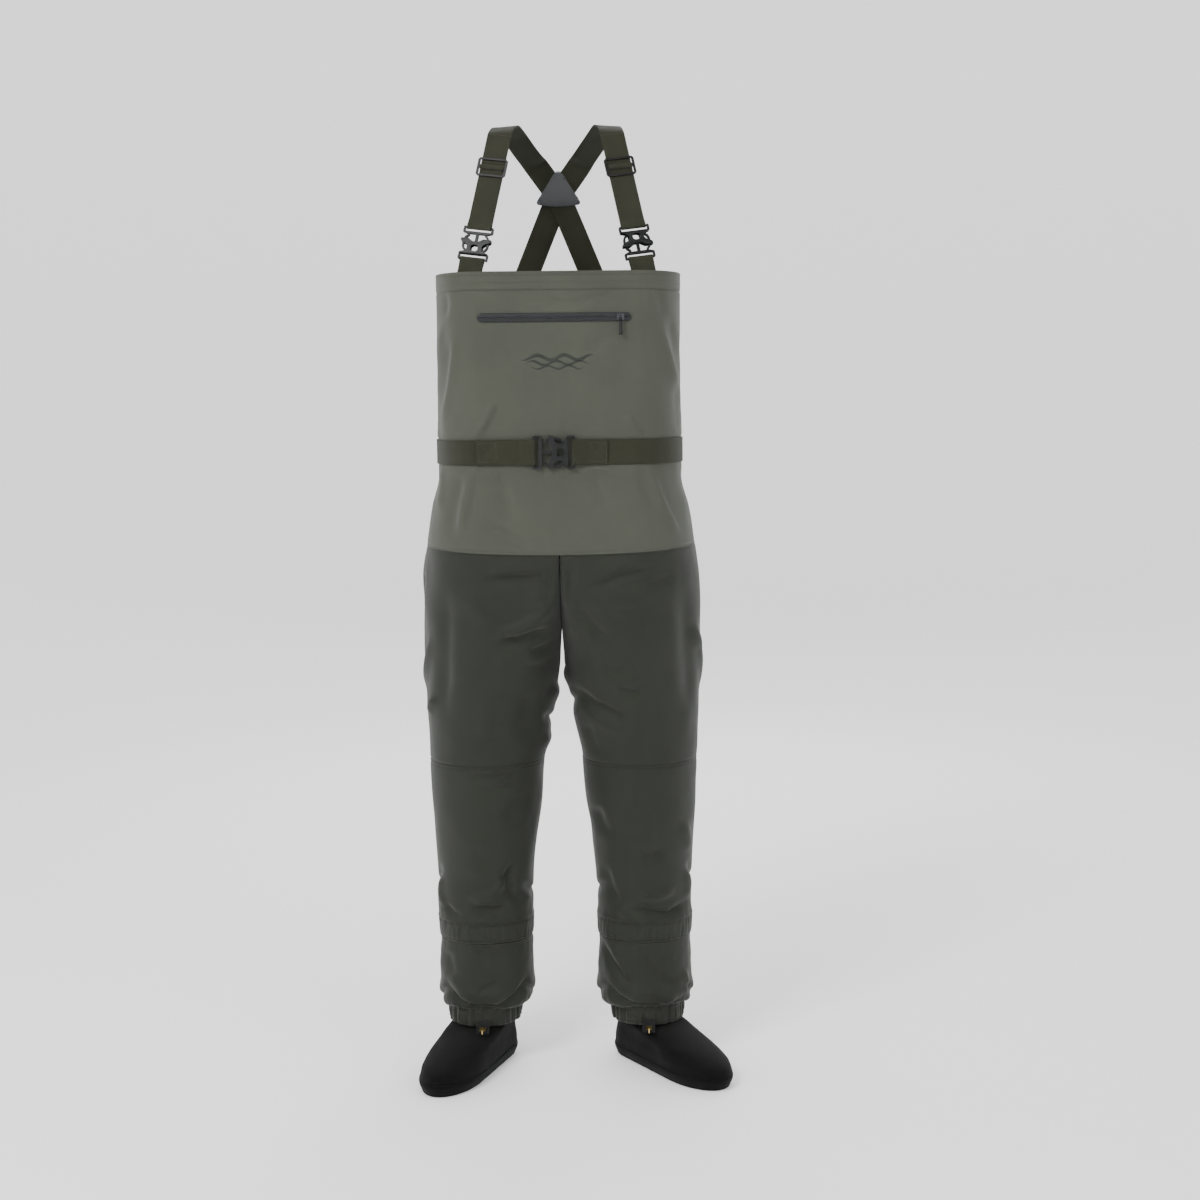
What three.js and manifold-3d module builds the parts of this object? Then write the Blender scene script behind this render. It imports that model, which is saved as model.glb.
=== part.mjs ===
// Stockingfoot chest waders, standing in their worn shape.
// Millimetres, +Z up, front towards -Y, the wearer's left towards +X.
import * as THREE from 'three';
import { mergeVertices } from 'three/addons/utils/BufferGeometryUtils.js';
import Module from 'manifold-3d';

const wasm = await Module();
wasm.setup();

// ---- Driving dimensions ----------------------------------------------------
const GAP = 0.3;               // clearance between neighbouring pieces
const FABRIC = 2.4;            // wall of the stand-in for the coated fabric
const NEOPRENE = 4;            // wall of the bootie
const WEBBING = 1.6;           // thickness of one webbing layer
const WEB_WIDTH = 38;          // width of shoulder straps and belt

const HEM_Z = 1253;            // top edge of the bib
const HIP_Z = 836;             // seam between bib and legs
const CROTCH_Z = 722;
const KNEE_Z = 492;            // seam across each leg at the knee
const BAND_TOP_Z = 239;        // gathered band where leg and gravel guard meet
const BAND_BOTTOM_Z = 205;
const CUFF_TOP_Z = 96;         // elastic ankle cuff of the gravel guard
const CUFF_BOTTOM_Z = 68;

const CHEST_HALF_WIDTH = 190;
const CHEST_HALF_DEPTH = 120;
const CHEST_FLAT = 118;        // half width of the flat front of the bib
const HIP_HALF_WIDTH = 211;
const HIP_HALF_DEPTH = 138;

const ANKLE_X = 134;
const ANKLE_Y = 5;
const FOOT_TOE = 208;          // ankle axis to toe tip
const FOOT_HEEL = 61;          // ankle axis to back of heel
const FOOT_HALF_WIDTH = 48;
const SOLE = 4;                // thickness of the bootie's sole
const TOE_OUT = { right: 19, left: 32 };   // degrees each foot turns outwards

const BELT_Z = 982;
const BELT_STANDOFF = 1.2;     // belt off the bib
const BUCKLE_STACK = 9;        // thickness of a buckle
const SHOULDER_BUCKLE = { length: 54, width: 47 };
const BELT_BUCKLE = { length: 64, width: 50 };
const BELT_BUCKLE_X = -7;      // the belt buckle sits just off centre

const STRAP_FOOT = new THREE.Vector3(131, -107, 1252);    // front strap at the hem
const STRAP_HEAD = new THREE.Vector3(85, -38, 1468);      // where it turns over
const BUCKLE_ALONG = 20;       // hem to the lower end of the shoulder buckle
const ADJUSTER_ALONG = 171;    // hem to the middle of the adjuster
const TAB_DEPTH = 37;          // how far the straps are sewn below the hem

const ZIP_Z = 1184;
const ZIP_LENGTH = 231;
const ZIP_HEIGHT = 13;
const ZIP_X = -4;
const POCKET_DEPTH = 150;
const POCKET_SPACE = 7;        // room inside the flat pocket bag

const YOKE_Z = 1396;           // centre of the plate where the straps cross
const YOKE_WIDTH = 70;
const YOKE_HEIGHT = 56;
const YOKE_PLATE = 2;

// ---- Colours ---------------------------------------------------------------
const bibFabric = { color: 0x6a6e64, roughness: 0.62, metalness: 0 };
const legFabric = { color: 0x484b43, roughness: 0.68, metalness: 0 };
const webbingCloth = { color: 0x4b4d42, roughness: 0.85, metalness: 0 };
const blackPlastic = { color: 0x17181a, roughness: 0.38, metalness: 0 };
const neoprene = { color: 0x1b1c1c, roughness: 0.9, metalness: 0 };
const brass = { color: 0xa38a4e, roughness: 0.35, metalness: 1 };

// ---- Solids: three.js geometry to manifold and back --------------------------
function toSolid(geometry) {
  let bare = geometry.index ? geometry.toNonIndexed() : geometry.clone();
  bare.deleteAttribute('normal');
  bare.deleteAttribute('uv');
  bare = mergeVertices(bare, 1e-4);
  return new wasm.Manifold(new wasm.Mesh({
    numProp: 3,
    vertProperties: new Float32Array(bare.attributes.position.array),
    triVerts: new Uint32Array(bare.index.array),
  }));
}

function toGeometry(solid) {
  const mesh = solid.getMesh();
  const geometry = new THREE.BufferGeometry();
  const xyz = new Float32Array(mesh.numVert * 3);
  for (let i = 0; i < mesh.numVert; i += 1) {
    for (let k = 0; k < 3; k += 1) xyz[3 * i + k] = mesh.vertProperties[mesh.numProp * i + k];
  }
  geometry.setAttribute('position', new THREE.BufferAttribute(xyz, 3));
  geometry.setIndex(new THREE.BufferAttribute(new Uint32Array(mesh.triVerts), 1));
  const flat = geometry.toNonIndexed();
  flat.computeVertexNormals();
  return flat;
}

function cut(geometry, ...tools) {
  return toGeometry(tools.reduce((solid, tool) => solid.subtract(toSolid(tool)), toSolid(geometry)));
}

function join(...geometries) {
  const [first, ...rest] = geometries.map(toSolid);
  return toGeometry(rest.reduce((solid, other) => solid.add(other), first));
}

function keep(geometry, region) {
  return toGeometry(toSolid(geometry).intersect(toSolid(region)));
}

function box([x0, x1], [y0, y1], [z0, z1]) {
  return new THREE.BoxGeometry(x1 - x0, y1 - y0, z1 - z0)
    .translate((x0 + x1) / 2, (y0 + y1) / 2, (z0 + z1) / 2);
}

// A geometry mirrored to the other side of the body.
function mirrored(geometry) {
  const flat = geometry.index ? geometry.toNonIndexed() : geometry.clone();
  const p = flat.attributes.position;
  for (let i = 0; i < p.count; i += 3) {
    const [a, b, c] = [0, 1, 2].map((k) => new THREE.Vector3().fromBufferAttribute(p, i + k));
    [a, c, b].forEach((v, k) => p.setXYZ(i + k, -v.x, v.y, v.z));
  }
  flat.computeVertexNormals();
  return flat;
}

// ---- Sections: a box outline with an elliptical arc at each corner -----------
const CORNER_STEPS = 7;

// section = { z, x: [low, high], y: [front, back], inner: [rx, ry], outer: [rx, ry] }
// where inner corners are at low x and outer corners at high x.
function outline(section) {
  const { z, x: [x0, x1], y: [y0, y1] } = section;
  const limit = ([rx, ry]) => [Math.min(rx, 0.49 * (x1 - x0)), Math.min(ry, 0.49 * (y1 - y0))];
  const [ix, iy] = limit(section.inner);
  const [ox, oy] = limit(section.outer);
  const corners = [
    [x1 - ox, y0 + oy, ox, oy, -90],
    [x1 - ox, y1 - oy, ox, oy, 0],
    [x0 + ix, y1 - iy, ix, iy, 90],
    [x0 + ix, y0 + iy, ix, iy, 180],
  ];
  const points = [];
  for (const [cx, cy, rx, ry, start] of corners) {
    for (let k = 0; k <= CORNER_STEPS; k += 1) {
      const t = THREE.MathUtils.degToRad(start + (90 * k) / CORNER_STEPS);
      points.push([cx + rx * Math.cos(t), cy + ry * Math.sin(t), z]);
    }
  }
  return points;
}

function inset(section, by) {
  const shrink = (radii) => radii.map((r) => Math.max(r - by, 0.6));
  return {
    ...section,
    x: [section.x[0] + by, section.x[1] - by],
    y: [section.y[0] + by, section.y[1] - by],
    inner: shrink(section.inner),
    outer: shrink(section.outer),
  };
}

function blendSections(a, b, z) {
  const t = (z - a.z) / (b.z - a.z);
  const mix = (key) => a[key].map((v, k) => v + (b[key][k] - v) * t);
  return { z, x: mix('x'), y: mix('y'), inner: mix('inner'), outer: mix('outer') };
}

// The sections of a profile (listed from the top down) between two heights.
function span(profile, top, bottom) {
  const at = (z) => {
    const i = Math.max(profile.findIndex((s) => s.z <= z), 1);
    return blendSections(profile[i - 1], profile[i], z);
  };
  const between = profile.filter((s) => s.z < top - 0.5 && s.z > bottom + 0.5);
  return [at(top), ...between, at(bottom)];
}

// A closed solid through a stack of rings with equal numbers of points. A face on a side
// in crossed is split along its other diagonal.
function loft(rings, crossed = []) {
  const count = rings[0].length;
  const xyz = rings.flat(2);
  const index = [];
  for (let r = 0; r + 1 < rings.length; r += 1) {
    for (let k = 0; k < count; k += 1) {
      const a = r * count + k;
      const b = r * count + ((k + 1) % count);
      index.push(...(crossed.includes(k)
        ? [a, b, a + count, b, b + count, a + count]
        : [a, b, b + count, a, b + count, a + count]));
    }
  }
  const cap = (r, flip) => {
    const centre = xyz.length / 3;
    for (let axis = 0; axis < 3; axis += 1) {
      xyz.push(rings[r].reduce((sum, p) => sum + p[axis], 0) / count);
    }
    for (let k = 0; k < count; k += 1) {
      const a = r * count + k;
      const b = r * count + ((k + 1) % count);
      index.push(...(flip ? [centre, b, a] : [centre, a, b]));
    }
  };
  cap(0, true);
  cap(rings.length - 1, false);
  const geometry = new THREE.BufferGeometry();
  geometry.setAttribute('position', new THREE.Float32BufferAttribute(xyz, 3));
  geometry.setIndex(index);
  return geometry;
}

// Sections are listed from the top down, rings for a loft from the bottom up.
const loftSections = (sections) => loft([...sections].reverse().map(outline));

// A tube of fabric open at both ends.
function sleeve(sections, wall) {
  const last = sections.length - 1;
  const hollow = sections.map((section, i) => {
    const inside = inset(section, wall);
    if (i === 0) inside.z += 1;
    if (i === last) inside.z -= 1;
    return inside;
  });
  return cut(loftSections(sections), loftSections(hollow));
}

// ---- Body and leg profiles, from the top down --------------------------------
const sideArc = CHEST_HALF_WIDTH - CHEST_FLAT;
const bodySection = (z, a, b, rx = sideArc) => (
  { z, x: [-a, a], y: [-b, b], inner: [rx, b], outer: [rx, b] });
const BODY = [
  bodySection(HEM_Z, CHEST_HALF_WIDTH, CHEST_HALF_DEPTH),
  bodySection(945, CHEST_HALF_WIDTH, CHEST_HALF_DEPTH),
  bodySection(898, CHEST_HALF_WIDTH + 11, CHEST_HALF_DEPTH + 8, sideArc + 12),
  bodySection(HIP_Z, HIP_HALF_WIDTH, HIP_HALF_DEPTH, sideArc + 24),
];

// One leg on the +X side; its low-x face lies on the centre plane down to the crotch.
const CENTRE_GAP = GAP / 2;
const legSection = (z, x0, x1, y0, y1, inner, outer) => (
  { z, x: [x0, x1], y: [y0, y1], inner, outer });
const LEG = [
  legSection(HIP_Z, CENTRE_GAP, HIP_HALF_WIDTH, -HIP_HALF_DEPTH, HIP_HALF_DEPTH,
    [1, 1], [sideArc + 24, HIP_HALF_DEPTH]),
  legSection(780, CENTRE_GAP, 218, -138, 143, [14, 18], [104, 138]),
  legSection(CROTCH_Z, CENTRE_GAP, 219, -131, 141, [48, 72], [107, 134]),
  legSection(650, 3.5, 218, -117, 131, [96, 112], [108, 123]),
  legSection(571, 14, 216, -100, 119, [100, 108], [100, 108]),
  legSection(KNEE_Z, 30, 213, -91, 108, [90, 98], [90, 98]),
  legSection(416, 37, 210, -84, 99, [86, 90], [86, 90]),
  legSection(350, 46, 206, -76, 93, [80, 84], [80, 84]),
  legSection(261, 52, 204, -68, 85, [75, 76], [75, 76]),
  legSection(BAND_BOTTOM_Z, 54, 201, -64, 81, [73, 72], [73, 72]),
  legSection(128, 52, 203, -69, 83, [74, 74], [74, 74]),
  legSection(CUFF_TOP_Z + 14, 56, 201, -66, 79, [71, 71], [71, 71]),
  legSection(CUFF_TOP_Z, 73, 190, -54, 63, [58, 57], [58, 57]),
];

// ---- Shared builders -----------------------------------------------------------
const object = new THREE.Group();

function add(name, geometry, finish, parent = object) {
  const mesh = new THREE.Mesh(geometry, new THREE.MeshStandardMaterial(finish));
  mesh.name = name;
  parent.add(mesh);
  return mesh;
}

const SIDES = [
  { side: 'left', s: 1 },
  { side: 'right', s: -1 },
];
const onSide = (geometry, s) => (s > 0 ? geometry : mirrored(geometry));

// A flat band along stations { at, across }: across is the unit width direction.
function ribbon(stations, width, thickness) {
  const rings = stations.map(({ at, across }, i) => {
    const before = stations[Math.max(i - 1, 0)].at;
    const after = stations[Math.min(i + 1, stations.length - 1)].at;
    const along = after.clone().sub(before).normalize();
    const out = new THREE.Vector3().crossVectors(across, along).normalize();
    return [[-1, -1], [1, -1], [1, 1], [-1, 1]].map(([u, v]) => at.clone()
      .addScaledVector(across, (u * width) / 2)
      .addScaledVector(out, (v * thickness) / 2).toArray());
  });
  // Both broad faces are split the same way, so that a twisted band keeps its thickness.
  const solid = loft(rings, [2]);
  return toSolid(solid).volume() > 0 ? solid : loft([...rings].reverse(), [2]);
}

// A plate in the local X-Y plane, with optional holes, centred on local Z.
function plate(points, thickness, holes = [], z = 0) {
  const shape = new THREE.Shape(points.map(([x, y]) => new THREE.Vector2(x, y)));
  shape.holes = holes.map((hole) => new THREE.Path(hole.map(([x, y]) => new THREE.Vector2(x, y))));
  return new THREE.ExtrudeGeometry(shape, { depth: thickness, bevelEnabled: false, steps: 1 })
    .translate(0, 0, z - thickness / 2);
}

const rectangle = ([x0, x1], [y0, y1]) => [[x0, y0], [x1, y0], [x1, y1], [x0, y1]];

// A rectangle with its corners cut, as the rounded ends of a moulded bar.
const chamfered = ([x0, x1], [y0, y1], c) => [
  [x0 + c, y0], [x1 - c, y0], [x1, y0 + c], [x1, y1 - c],
  [x1 - c, y1], [x0 + c, y1], [x0, y1 - c], [x0, y0 + c],
];

// ---- Bib: front and back panels, seamed down the sides ------------------------
const FRONT_Y = -CHEST_HALF_DEPTH;
const BACK_Y = CHEST_HALF_DEPTH;
const FAR = 1000;
const ZIP_SLOT = 6;

const bibSleeve = sleeve(span(BODY, HEM_Z, HIP_Z + GAP), FABRIC);
const frontHalf = box([-FAR, FAR], [-FAR, -CENTRE_GAP], [0, 2 * FAR]);
const backHalf = box([-FAR, FAR], [CENTRE_GAP, FAR], [0, 2 * FAR]);
const zipSlot = box([ZIP_X - ZIP_LENGTH / 2 + 6, ZIP_X + ZIP_LENGTH / 2 - 6],
  [FRONT_Y - 5, FRONT_Y + 5], [ZIP_Z - ZIP_SLOT / 2, ZIP_Z + ZIP_SLOT / 2]);
add('bib_front', cut(keep(bibSleeve, frontHalf), zipSlot), bibFabric);
add('bib_back', keep(bibSleeve, backHalf), bibFabric);

// Chest pocket: a flat bag behind the zip, and the zip sewn over the slot.
const POCKET_WALL = 1.6;
const pocketFront = FRONT_Y + FABRIC + GAP;
const pocketTop = ZIP_Z + 16;
const pocketX = [ZIP_X - ZIP_LENGTH / 2 + 2, ZIP_X + ZIP_LENGTH / 2 - 2];
const pocketBack = pocketFront + POCKET_SPACE + 2 * POCKET_WALL;
add('chest_pocket_bag', cut(
  box(pocketX, [pocketFront, pocketBack], [ZIP_Z - POCKET_DEPTH, pocketTop]),
  box([pocketX[0] + POCKET_WALL, pocketX[1] - POCKET_WALL],
    [pocketFront + POCKET_WALL, pocketBack - POCKET_WALL],
    [ZIP_Z - POCKET_DEPTH + POCKET_WALL, pocketTop - POCKET_WALL]),
  box([ZIP_X - ZIP_LENGTH / 2 + 6, ZIP_X + ZIP_LENGTH / 2 - 6],
    [pocketFront - 1, pocketFront + POCKET_WALL + 1],
    [ZIP_Z - ZIP_SLOT / 2, ZIP_Z + ZIP_SLOT / 2]),
), bibFabric);

const TAPE = 1.2;              // zip tape thickness
const CHAIN = 1.6;             // how far the closed teeth stand proud of the tape
const CHAIN_HEIGHT = 5;
const tapeBack = FRONT_Y - GAP;
const tapeFront = tapeBack - TAPE;
const chainFront = tapeFront - CHAIN;
add('zip_tape', join(
  plate(chamfered([-ZIP_LENGTH / 2, ZIP_LENGTH / 2], [-ZIP_HEIGHT / 2, ZIP_HEIGHT / 2], 5), TAPE)
    .rotateX(Math.PI / 2).translate(ZIP_X, tapeBack - TAPE / 2, ZIP_Z),
  box([ZIP_X - ZIP_LENGTH / 2 + 4, ZIP_X + ZIP_LENGTH / 2 - 4],
    [chainFront, tapeFront + 0.4], [ZIP_Z - CHAIN_HEIGHT / 2, ZIP_Z + CHAIN_HEIGHT / 2]),
), { color: 0x1a1b1b, roughness: 0.7, metalness: 0 });

// The slider straddles the closed teeth near the wearer's left end.
const SLIDER = { x: ZIP_X + ZIP_LENGTH / 2 - 16, half: 5.5, height: 8.6, top: 2.4 };
const sliderFront = chainFront - GAP - SLIDER.top;
const chainChannel = CHAIN_HEIGHT / 2 + GAP;
const PIVOT = { standoff: 2.6, pin: 0.8, eye: 1.1, ring: 2.2 };
const pivotY = sliderFront - PIVOT.standoff;
const rod = (radius, [x0, x1], y, z) => new THREE.CylinderGeometry(radius, radius, x1 - x0, 12)
  .rotateZ(Math.PI / 2).translate((x0 + x1) / 2, y, z);
const post = (x) => box([x - 1.1, x + 1.1], [pivotY - 1.3, sliderFront + 0.3],
  [ZIP_Z - 1.3, ZIP_Z + 1.3]);
add('zip_slider', cut(
  join(
    box([SLIDER.x - SLIDER.half, SLIDER.x + SLIDER.half], [sliderFront, tapeFront - GAP],
      [ZIP_Z - SLIDER.height / 2, ZIP_Z + SLIDER.height / 2]),
    post(SLIDER.x - 3.4),
    post(SLIDER.x + 3.4),
    rod(PIVOT.pin, [SLIDER.x - 3.6, SLIDER.x + 3.6], pivotY, ZIP_Z),
  ),
  box([SLIDER.x - SLIDER.half - 1, SLIDER.x + SLIDER.half + 1], [chainFront - GAP, FRONT_Y],
    [ZIP_Z - chainChannel, ZIP_Z + chainChannel]),
), { color: 0x222324, roughness: 0.4, metalness: 0.6 });

// The puller hangs on the slider's pin: an eye, a slim neck and a thicker grip.
const PULLER = { length: 28, thick: 2.2, neck: 1.7, grip: 3 };
const pullerSide = [[PULLER.neck, 0], [PULLER.neck - 0.2, -14], [PULLER.grip, -19],
  [PULLER.grip, -PULLER.length + 2], [PULLER.grip - 1.2, -PULLER.length]];
const pullerOutline = [...pullerSide].reverse()
  .concat(pullerSide.map(([x, y]) => [-x, y])).reverse();
add('zip_puller', cut(
  join(
    plate(pullerOutline, PULLER.thick).rotateX(Math.PI / 2).translate(SLIDER.x, pivotY, ZIP_Z),
    rod(PIVOT.ring, [SLIDER.x - 1.9, SLIDER.x + 1.9], pivotY, ZIP_Z),
  ),
  rod(PIVOT.eye, [SLIDER.x - 4, SLIDER.x + 4], pivotY, ZIP_Z),
), { color: 0x1b1c1d, roughness: 0.55, metalness: 0 });

// ---- Legs, bands, gravel guards and cuffs ---------------------------------------
// Above the crotch the two legs open into each other through the centre plane.
const crotchWindow = loftSections(span(LEG, HIP_Z, CROTCH_Z + 4).map((section, i) => {
  const edge = Math.max(section.inner[1], FABRIC) + 1;
  return {
    z: section.z + (i === 0 ? 1 : 0),
    x: [-1, FABRIC + 1],
    y: [section.y[0] + edge, section.y[1] - edge],
    inner: [0.6, 0.6],
    outer: [0.6, 0.6],
  };
}));
const STITCHED = 2.6;          // how far the gathered band stands out

const bandSection = (z) => inset(span(LEG, z, z - 10)[0], -STITCHED);
const CUFF = [
  { ...LEG[LEG.length - 1], z: CUFF_TOP_Z - GAP },
  legSection(CUFF_BOTTOM_Z, 75, 188, -57, 62, [56, 58], [56, 58]),
];

function footSection(z, half, toe, heel) {
  const toeArc = Math.min(1.9 * half, 0.45 * (toe + heel));
  return { z, half, toe, heel, toeArc };
}
const FOOT = [
  footSection(118, 50, 50, 51),
  footSection(98, 49, 51, 51),
  footSection(CUFF_BOTTOM_Z + 12, 48, 50, 52),
  footSection(CUFF_BOTTOM_Z - 2, 47, 54, 53),
  footSection(CUFF_BOTTOM_Z - 10, 46, 106, 54),
  footSection(46, 46, 168, 57),
  footSection(30, FOOT_HALF_WIDTH, FOOT_TOE - 6, FOOT_HEEL - 1),
  footSection(16, FOOT_HALF_WIDTH, FOOT_TOE, FOOT_HEEL),
  footSection(SOLE + GAP, FOOT_HALF_WIDTH - 3, FOOT_TOE - 4, FOOT_HEEL - 3),
];

// A foot ring about the ankle axis, turned outwards, with a rounder toe than heel.
function footRing({ z, half, toe, heel, toeArc }, wall, turn) {
  const [w, t, h] = [half - wall, toe - wall, heel - wall];
  const arc = Math.max(toeArc - wall, 1);
  const heelArc = Math.min(w, 0.49 * (t + h));
  const points = [];
  const corner = (cx, cy, rx, ry, start) => {
    for (let k = 0; k <= CORNER_STEPS; k += 1) {
      const angle = THREE.MathUtils.degToRad(start + (90 * k) / CORNER_STEPS);
      const [px, py] = [cx + rx * Math.cos(angle), cy + ry * Math.sin(angle)];
      points.push([ANKLE_X + px * Math.cos(turn) - py * Math.sin(turn),
        ANKLE_Y + px * Math.sin(turn) + py * Math.cos(turn), z]);
    }
  };
  const rx = 0.98 * w;
  corner(w - rx, -t + arc, rx, arc, -90);
  corner(w - rx, h - heelArc, rx, heelArc, 0);
  corner(-w + rx, h - heelArc, rx, heelArc, 90);
  corner(-w + rx, -t + arc, rx, arc, 180);
  return points;
}

// The bootie's shaft runs up inside the gravel guard to the gathered band.
const SHAFT = [
  inset(bandSection(BAND_TOP_Z - 2), FABRIC + GAP),
  inset(bandSection(BAND_BOTTOM_Z + 8), FABRIC + GAP),
  inset(span(LEG, BAND_BOTTOM_Z + 1, CUFF_TOP_Z)[0], FABRIC + 2 * GAP),
  legSection(150, 74, 187, -53, 64, [56, 57], [56, 57]),
];

for (const { side, s } of SIDES) {
  const turn = THREE.MathUtils.degToRad(TOE_OUT[side]);
  add(`${side}_upper_leg`,
    onSide(cut(sleeve(span(LEG, HIP_Z, KNEE_Z + GAP), FABRIC), crotchWindow), s), legFabric);
  add(`${side}_lower_leg`,
    onSide(sleeve(span(LEG, KNEE_Z, BAND_TOP_Z + GAP), FABRIC), s), legFabric);
  add(`${side}_calf_band`,
    onSide(sleeve([BAND_TOP_Z, BAND_BOTTOM_Z + GAP].map(bandSection), FABRIC), s), legFabric);
  add(`${side}_gravel_guard`,
    onSide(sleeve(span(LEG, BAND_BOTTOM_Z, CUFF_TOP_Z), FABRIC), s), legFabric);
  add(`${side}_ankle_cuff`, onSide(sleeve(CUFF, FABRIC), s), legFabric);

  const shaft = (by) => [...SHAFT].reverse().map((section) => outline(inset(section, by)));
  const foot = (wall) => [...FOOT].reverse().map((section) => footRing(section, wall, turn));
  const outer = loft([...foot(0), ...shaft(0)]);
  const floorless = foot(NEOPRENE).map((ring, i) => (
    i === 0 ? ring.map(([x, y]) => [x, y, SOLE + GAP + NEOPRENE]) : ring));
  const top = shaft(NEOPRENE);
  top[top.length - 1] = top[top.length - 1].map(([x, y, z]) => [x, y, z + 1]);
  add(`${side}_bootie`, onSide(cut(outer, loft([...floorless, ...top])), s), neoprene);

  const soleTop = FOOT[FOOT.length - 1];
  const soleRings = [0, SOLE].map((z) => footRing({ ...soleTop, z }, z > 0 ? 0 : 1.2, turn));
  add(`${side}_bootie_sole`, onSide(loft(soleRings), s), neoprene);
}

// ---- Side-release buckles ---------------------------------------------------------
// Local frame: X across the webbing, Y from the female's bar to the male's, Z outwards.
const BAR = 1.7;               // radius of every webbing bar
const BAR_FRAME = 2.2;         // half thickness of the frames round the bars
const LATCH_PLATE = 2;         // each of the female's two plates
const ARM = { half: 1.7, thick: 4, root: 0.6 };

function buckleShape({ length, width }) {
  const h = width / 2;
  const y = (share) => share * length;
  return { h, y, mouth: y(0.62), shoulder: y(0.77), slot: y(0.165) };
}

const bothSides = (rightSide) => [...rightSide, ...[...rightSide].reverse()
  .map(([x, y]) => [-x, y])];

function femaleBuckle(size) {
  const { h, y, mouth, slot } = buckleShape(size);
  const frameTop = slot + 2;
  const body = bothSides([
    [h - 1, slot + 0.5], [h - 1, y(0.2)], [0.6 * h, y(0.25)], [0.5 * h, y(0.31)],
    [0.5 * h, y(0.39)], [0.62 * h, y(0.46)], [0.97 * h, y(0.53)], [h, y(0.57)], [h, mouth],
    [0.5 * h, mouth], [0.2 * h, y(0.54)],
  ]);
  const windowHole = bothSides([[3, y(0.25)], [0.24 * h, y(0.29)], [0.24 * h, y(0.4)], [3, y(0.44)]]);
  const earWall = h - 1.5;
  const shell = cut(
    join(
      plate(body, BUCKLE_STACK),
      plate(chamfered([-h, h], [0, frameTop], 1.4), 2 * BAR_FRAME),
    ),
    plate(rectangle([-(h - 3), h - 3], [-1, slot]), 3 * BAR_FRAME),
    plate(windowHole, 2 * BUCKLE_STACK),
    box([-earWall, earWall], [frameTop + 0.4, mouth + 1],
      [-BUCKLE_STACK / 2 + LATCH_PLATE, BUCKLE_STACK / 2 - LATCH_PLATE]),
  );
  return join(shell, rod(BAR, [1 - h, h - 1], BAR, 0));
}

function maleBuckle(size) {
  const { h, y, mouth, shoulder } = buckleShape(size);
  const frame = cut(
    join(
      plate(bothSides([[0.7 * h, shoulder], [h, shoulder + 2.5], [h, size.length - 1.4],
        [h - 1.4, size.length]]), 2 * BAR_FRAME),
      box([-2.2, 2.2], [mouth - 4, shoulder + 1], [-2, 2]),
    ),
    plate(rectangle([-(h - 3), h - 3], [y(0.845), size.length + 1]), 3 * BAR_FRAME),
  );
  return join(frame, rod(BAR, [1 - h, h - 1], size.length - BAR, 0));
}

// One springy arm on the +X side of the male, bowed out between the female's plates.
function buckleArm(size) {
  const { h, y, shoulder } = buckleShape(size);
  const spine = new THREE.CatmullRomCurve3([
    [0.58 * h, shoulder - ARM.root], [0.6 * h, shoulder - ARM.root - 2], [0.74 * h, y(0.67)],
    [h - 4.4, y(0.55)], [h - 4.2, y(0.43)], [0.74 * h, y(0.33)], [0.54 * h, y(0.27)],
  ].map(([x, along]) => new THREE.Vector3(x, along, 0)));
  const across = new THREE.Vector3(0, 0, 1);
  const stations = spine.getPoints(12).map((at) => ({ at, across }));
  stations[0].at.x = stations[1].at.x;
  return ribbon(stations, ARM.thick, 2 * ARM.half);
}

// A solid whose section is drawn in local Y and Z and runs across local X.
const acrossWeb = new THREE.Matrix4().makeBasis(new THREE.Vector3(0, 1, 0),
  new THREE.Vector3(0, 0, 1), new THREE.Vector3(1, 0, 0));
const runAcross = (profile, width, holes = []) => plate(profile, width, holes)
  .applyMatrix4(acrossWeb);

// Webbing wrapped round a bar at the local origin, its tail reaching along +Y.
function barLoop(reach, tailHalf) {
  const inner = BAR + GAP;
  const taper = 13;
  const arc = (r) => [90, 120, 150, 180, 210, 240, 270].map((deg) => {
    const t = THREE.MathUtils.degToRad(deg);
    return [r * Math.cos(t), r * Math.sin(t)];
  });
  return runAcross([...arc(inner + WEBBING), [taper, -tailHalf], [reach, -tailHalf],
    [reach, tailHalf], [taper, tailHalf]], WEB_WIDTH, [[...arc(inner), [9, 0]]]);
}

// ---- Shoulder straps ---------------------------------------------------------------
const along = STRAP_HEAD.clone().sub(STRAP_FOOT).normalize();
const facing = new THREE.Vector3(Math.tan(THREE.MathUtils.degToRad(14)), -1, 0);
const outward = facing.clone().addScaledVector(along, -facing.dot(along)).normalize();
const across = new THREE.Vector3().crossVectors(along, outward);
const strapFrame = new THREE.Matrix4().makeBasis(across, along, outward)
  .setPosition(STRAP_FOOT);
const upTheStrap = (t) => STRAP_FOOT.clone().addScaledVector(along, t);
const inStrap = (geometry, t, turned = false) => {
  const placed = geometry.index ? geometry.toNonIndexed() : geometry.clone();
  if (turned) placed.rotateZ(Math.PI);
  return placed.translate(0, t, 0).applyMatrix4(strapFrame);
};

const buckleTop = BUCKLE_ALONG + SHOULDER_BUCKLE.length;
const lowBar = BUCKLE_ALONG + BAR;
const highBar = buckleTop - BAR;
const STRAP_SPLIT = 226;       // front run ends and the shoulder run starts
const GLIDE = { width: 47, length: 30, thick: 2.6, bar: 3.4, rim: 3.2 };
const glideCentre = WEBBING / 2 + GAP + GLIDE.thick / 2;

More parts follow.
